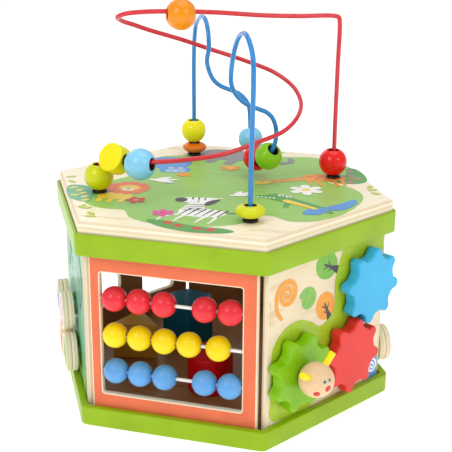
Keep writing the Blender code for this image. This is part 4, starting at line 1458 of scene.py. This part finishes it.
def makeFerrules(look):
    low = topPlace["height"] + 0.0003
    flange, dome, neck, bore = 0.0072, 0.0046, 0.0042, maze["wireBore"]
    for post in maze["posts"]:
        profile = [(bore, low - 0.008), (neck, low - 0.008), (neck, low)]
        profile += [(flange - 0.0003, low), (flange, low + 0.0003)]
        for k in range(5):
            angle = math.pi / 2 * k / 4
            profile.append((flange - 0.0008 + 0.0008 * math.cos(angle), low + 0.0015 + 0.0008 * math.sin(angle)))
        profile += [(dome + 0.0003, low + 0.0023), (dome, low + 0.0026)]
        for k in range(5):
            angle = math.pi / 2 * k / 4
            profile.append((dome - 0.0012 + 0.0012 * math.cos(angle), low + 0.0030 + 0.0012 * math.sin(angle)))
        profile.append((bore, low + 0.0042))
        node = f"{post}_ferrule"
        x, y, _ = postPoint(post, 0)
        place = Matrix.Translation((x, y, 0))
        finishPiece(node + "_fine", turned(profile, 40), place, "case", [node], [look], 30)


def makeCrossBead(looks):
    radius, half, edge = crossBead["radius"], crossBead["half"], crossBead["edge"]
    profile = [(0, -half)]
    for k in range(7):
        angle = math.pi / 2 * k / 6
        profile.append((radius - edge + edge * math.sin(angle), -half + edge - edge * math.cos(angle)))
    for k in range(7):
        angle = math.pi / 2 * k / 6
        profile.append((radius - edge + edge * math.cos(angle), half - edge + edge * math.sin(angle)))
    profile.append((0, half))
    axis = Vector(crossBead["axis"]).normalized()
    along = Vector(crossBead["bore"])
    along = (along - axis * along.dot(axis)).normalized()
    side = along.cross(axis)
    place = Matrix.Translation(centreOf("maze_yellow_disc")) @ Matrix((along, side, axis)).transposed().to_4x4()

    def helper(bm, turn):
        bmesh.ops.recalc_face_normals(bm, faces=bm.faces)
        mesh = bpy.data.meshes.new("helper")
        bm.to_mesh(mesh)
        bm.free()
        mesh.transform(turn)
        made = bpy.data.objects.new("helper", mesh)
        sceneObjects.link(made)
        return made

    blank = helper(turned(profile, 64), Matrix.Identity(4))
    bore, reach = maze["bore"], 2 * radius
    outline = [(0, -reach), (bore, -reach), (bore, reach), (0, reach)]
    tool = helper(turned(outline, 48), Matrix.Rotation(math.pi / 2, 4, "Y"))
    cut = blank.modifiers.new("bore", "BOOLEAN")
    cut.operation = "DIFFERENCE"
    cut.solver = "EXACT"
    cut.object = tool
    graph = bpy.context.evaluated_depsgraph_get()
    mesh = bpy.data.meshes.new_from_object(blank.evaluated_get(graph))
    bm = bmesh.new()
    bm.from_mesh(mesh)
    for made in (blank, tool):
        bpy.data.objects.remove(made)

    def pick(face):
        centre, normal = face.calc_center_median(), face.normal
        inward = centre.y * normal.y + centre.z * normal.z < 0 and abs(normal.x) < 0.3
        return 1 if inward and math.hypot(centre.y, centre.z) < bore * 1.02 else 0

    node = "maze_yellow_disc"
    finishPiece(node + "_fine", bm, place, "yellow_disc", [node], looks, 30, pick)


def makeMaze():
    blackLook = paint("ferruleBlack", "#1B1B1D", 0.25, 0.9, 0.0)
    # inside of each bore: darker brown paint as painted shade down the bore
    boreWood = paint("boreShade", "#5B3B22", 0.75, 0.1, 0.3)
    makeWire("maze_red_wire", "right", "left", redRoute, (0.222, 0.212), coatedWire("redCoating", "#D5303A"))
    makeWire("maze_blue_wire", "back", "front", blueRoute, (0.222, 0.222), coatedWire("blueCoating", "#2A86CC"))
    makeFerrules(blackLook)
    for node, (colour, radius, direction, flatten, body) in mazeBeads.items():
        look = paint(f"{colour}Maze", maze["colours"][colour], 0.30, 0.85, 0.08)
        bm = turned(ballProfile(radius, maze["bore"], flatten, 0.0009, 36), 64)
        place = alongAxis(centreOf(node), direction)
        looks = [look, boreWood]
        finishPiece(node + "_fine", bm, place, body, [node], looks, 30, boreOrSkin(maze["bore"]))
    makeCrossBead([paint("yellowMaze", maze["colours"]["yellow"], 0.30, 0.85, 0.08), boreWood])


# blocks inside, pins and the base board

blocks = {
    "edge": 0.0013,
    "cylinder": (0.0222, 0.038),
    "hexagon": (0.030, 0.044, -10),
    "triangle": (0.0475, 0.038, (-0.0821, -0.0252), 12.8),
    "colours": {"cylinder": "#F0242E", "hexagon": "#1E7FA8", "triangle": "#E6BC4E"},
}


def makeBlocks():
    looks = {name: paint(f"{name}Block", code, 0.4, 0.5, 0.2) for name, code in blocks["colours"].items()}
    radius, long = blocks["cylinder"]
    edge = blocks["edge"]
    profile = [(0, 0)]
    for k in range(6):
        angle = math.pi / 2 * k / 5
        profile.append((radius - edge + edge * math.sin(angle), edge - edge * math.cos(angle)))
    for k in range(6):
        angle = math.pi / 2 * k / 5
        profile.append((radius - edge + edge * math.cos(angle), long - edge + edge * math.sin(angle)))
    profile.append((0, long))
    centre = centreOf("block_cylinder")
    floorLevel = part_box("block_cylinder")[0][2]
    place = Matrix.Translation((centre.x, centre.y, floorLevel))
    bm, look = turned(profile, 64), [looks["cylinder"]]
    finishPiece("block_cylinder_fine", bm, place, "cylinder_block", ["block_cylinder"], look, 30)
    radius, long, turn = blocks["hexagon"]
    centre = centreOf("block_hexagon")
    bm = sawn([roundedPolygon(circle(radius, 6), 0.0015, 4)], long, edge)
    place = Matrix.Translation((centre.x, centre.y, floorLevel + long)) @ Matrix.Rotation(math.radians(turn), 4, "Z")
    look = [looks["hexagon"]]
    finishPiece("block_hexagon_fine", bm, place, "hexagon_block", ["block_hexagon"], look, 30)
    side, long, at, turn = blocks["triangle"]
    corners = [(-side / 2, 0), (side / 2, 0), (0, side * math.cos(math.pi / 6))]
    bm = sawn([roundedPolygon(corners, 0.0015, 4)], long, edge)
    place = Matrix.Translation((*at, floorLevel + long)) @ Matrix.Rotation(math.radians(turn), 4, "Z")
    look = [looks["triangle"]]
    finishPiece("block_triangle_fine", bm, place, "triangle_block", ["block_triangle"], look, 30)


def finishHiddenNodes():
    # nodes whose own shape is kept
    beech = birch("beechPin", "#EBCB9F", "#D6AA76", "#B58352")
    for name, thing in frame["nodes"].items():
        if name.endswith("_gear_pin"):
            thing.data.materials.clear()
            thing.data.materials.append(beech)
        # the base board takes the birch painted in the shade of the inside
        if name == "base_board":
            thing.data.materials.clear()
            thing.data.materials.append(caseMaterials["plyInside"])


makeCamera()
makeStudio()
print("camera and studio made")
makeRims()
makeTopBoard()
print("rims and top board made")
makePanels()
print("panels made")
makeAbacus()
makeGears()
makeHead()
print("abacus, gears and head made")
makeDiscs()
makeMaze()
makeBlocks()
finishHiddenNodes()
print("discs, maze and blocks made")
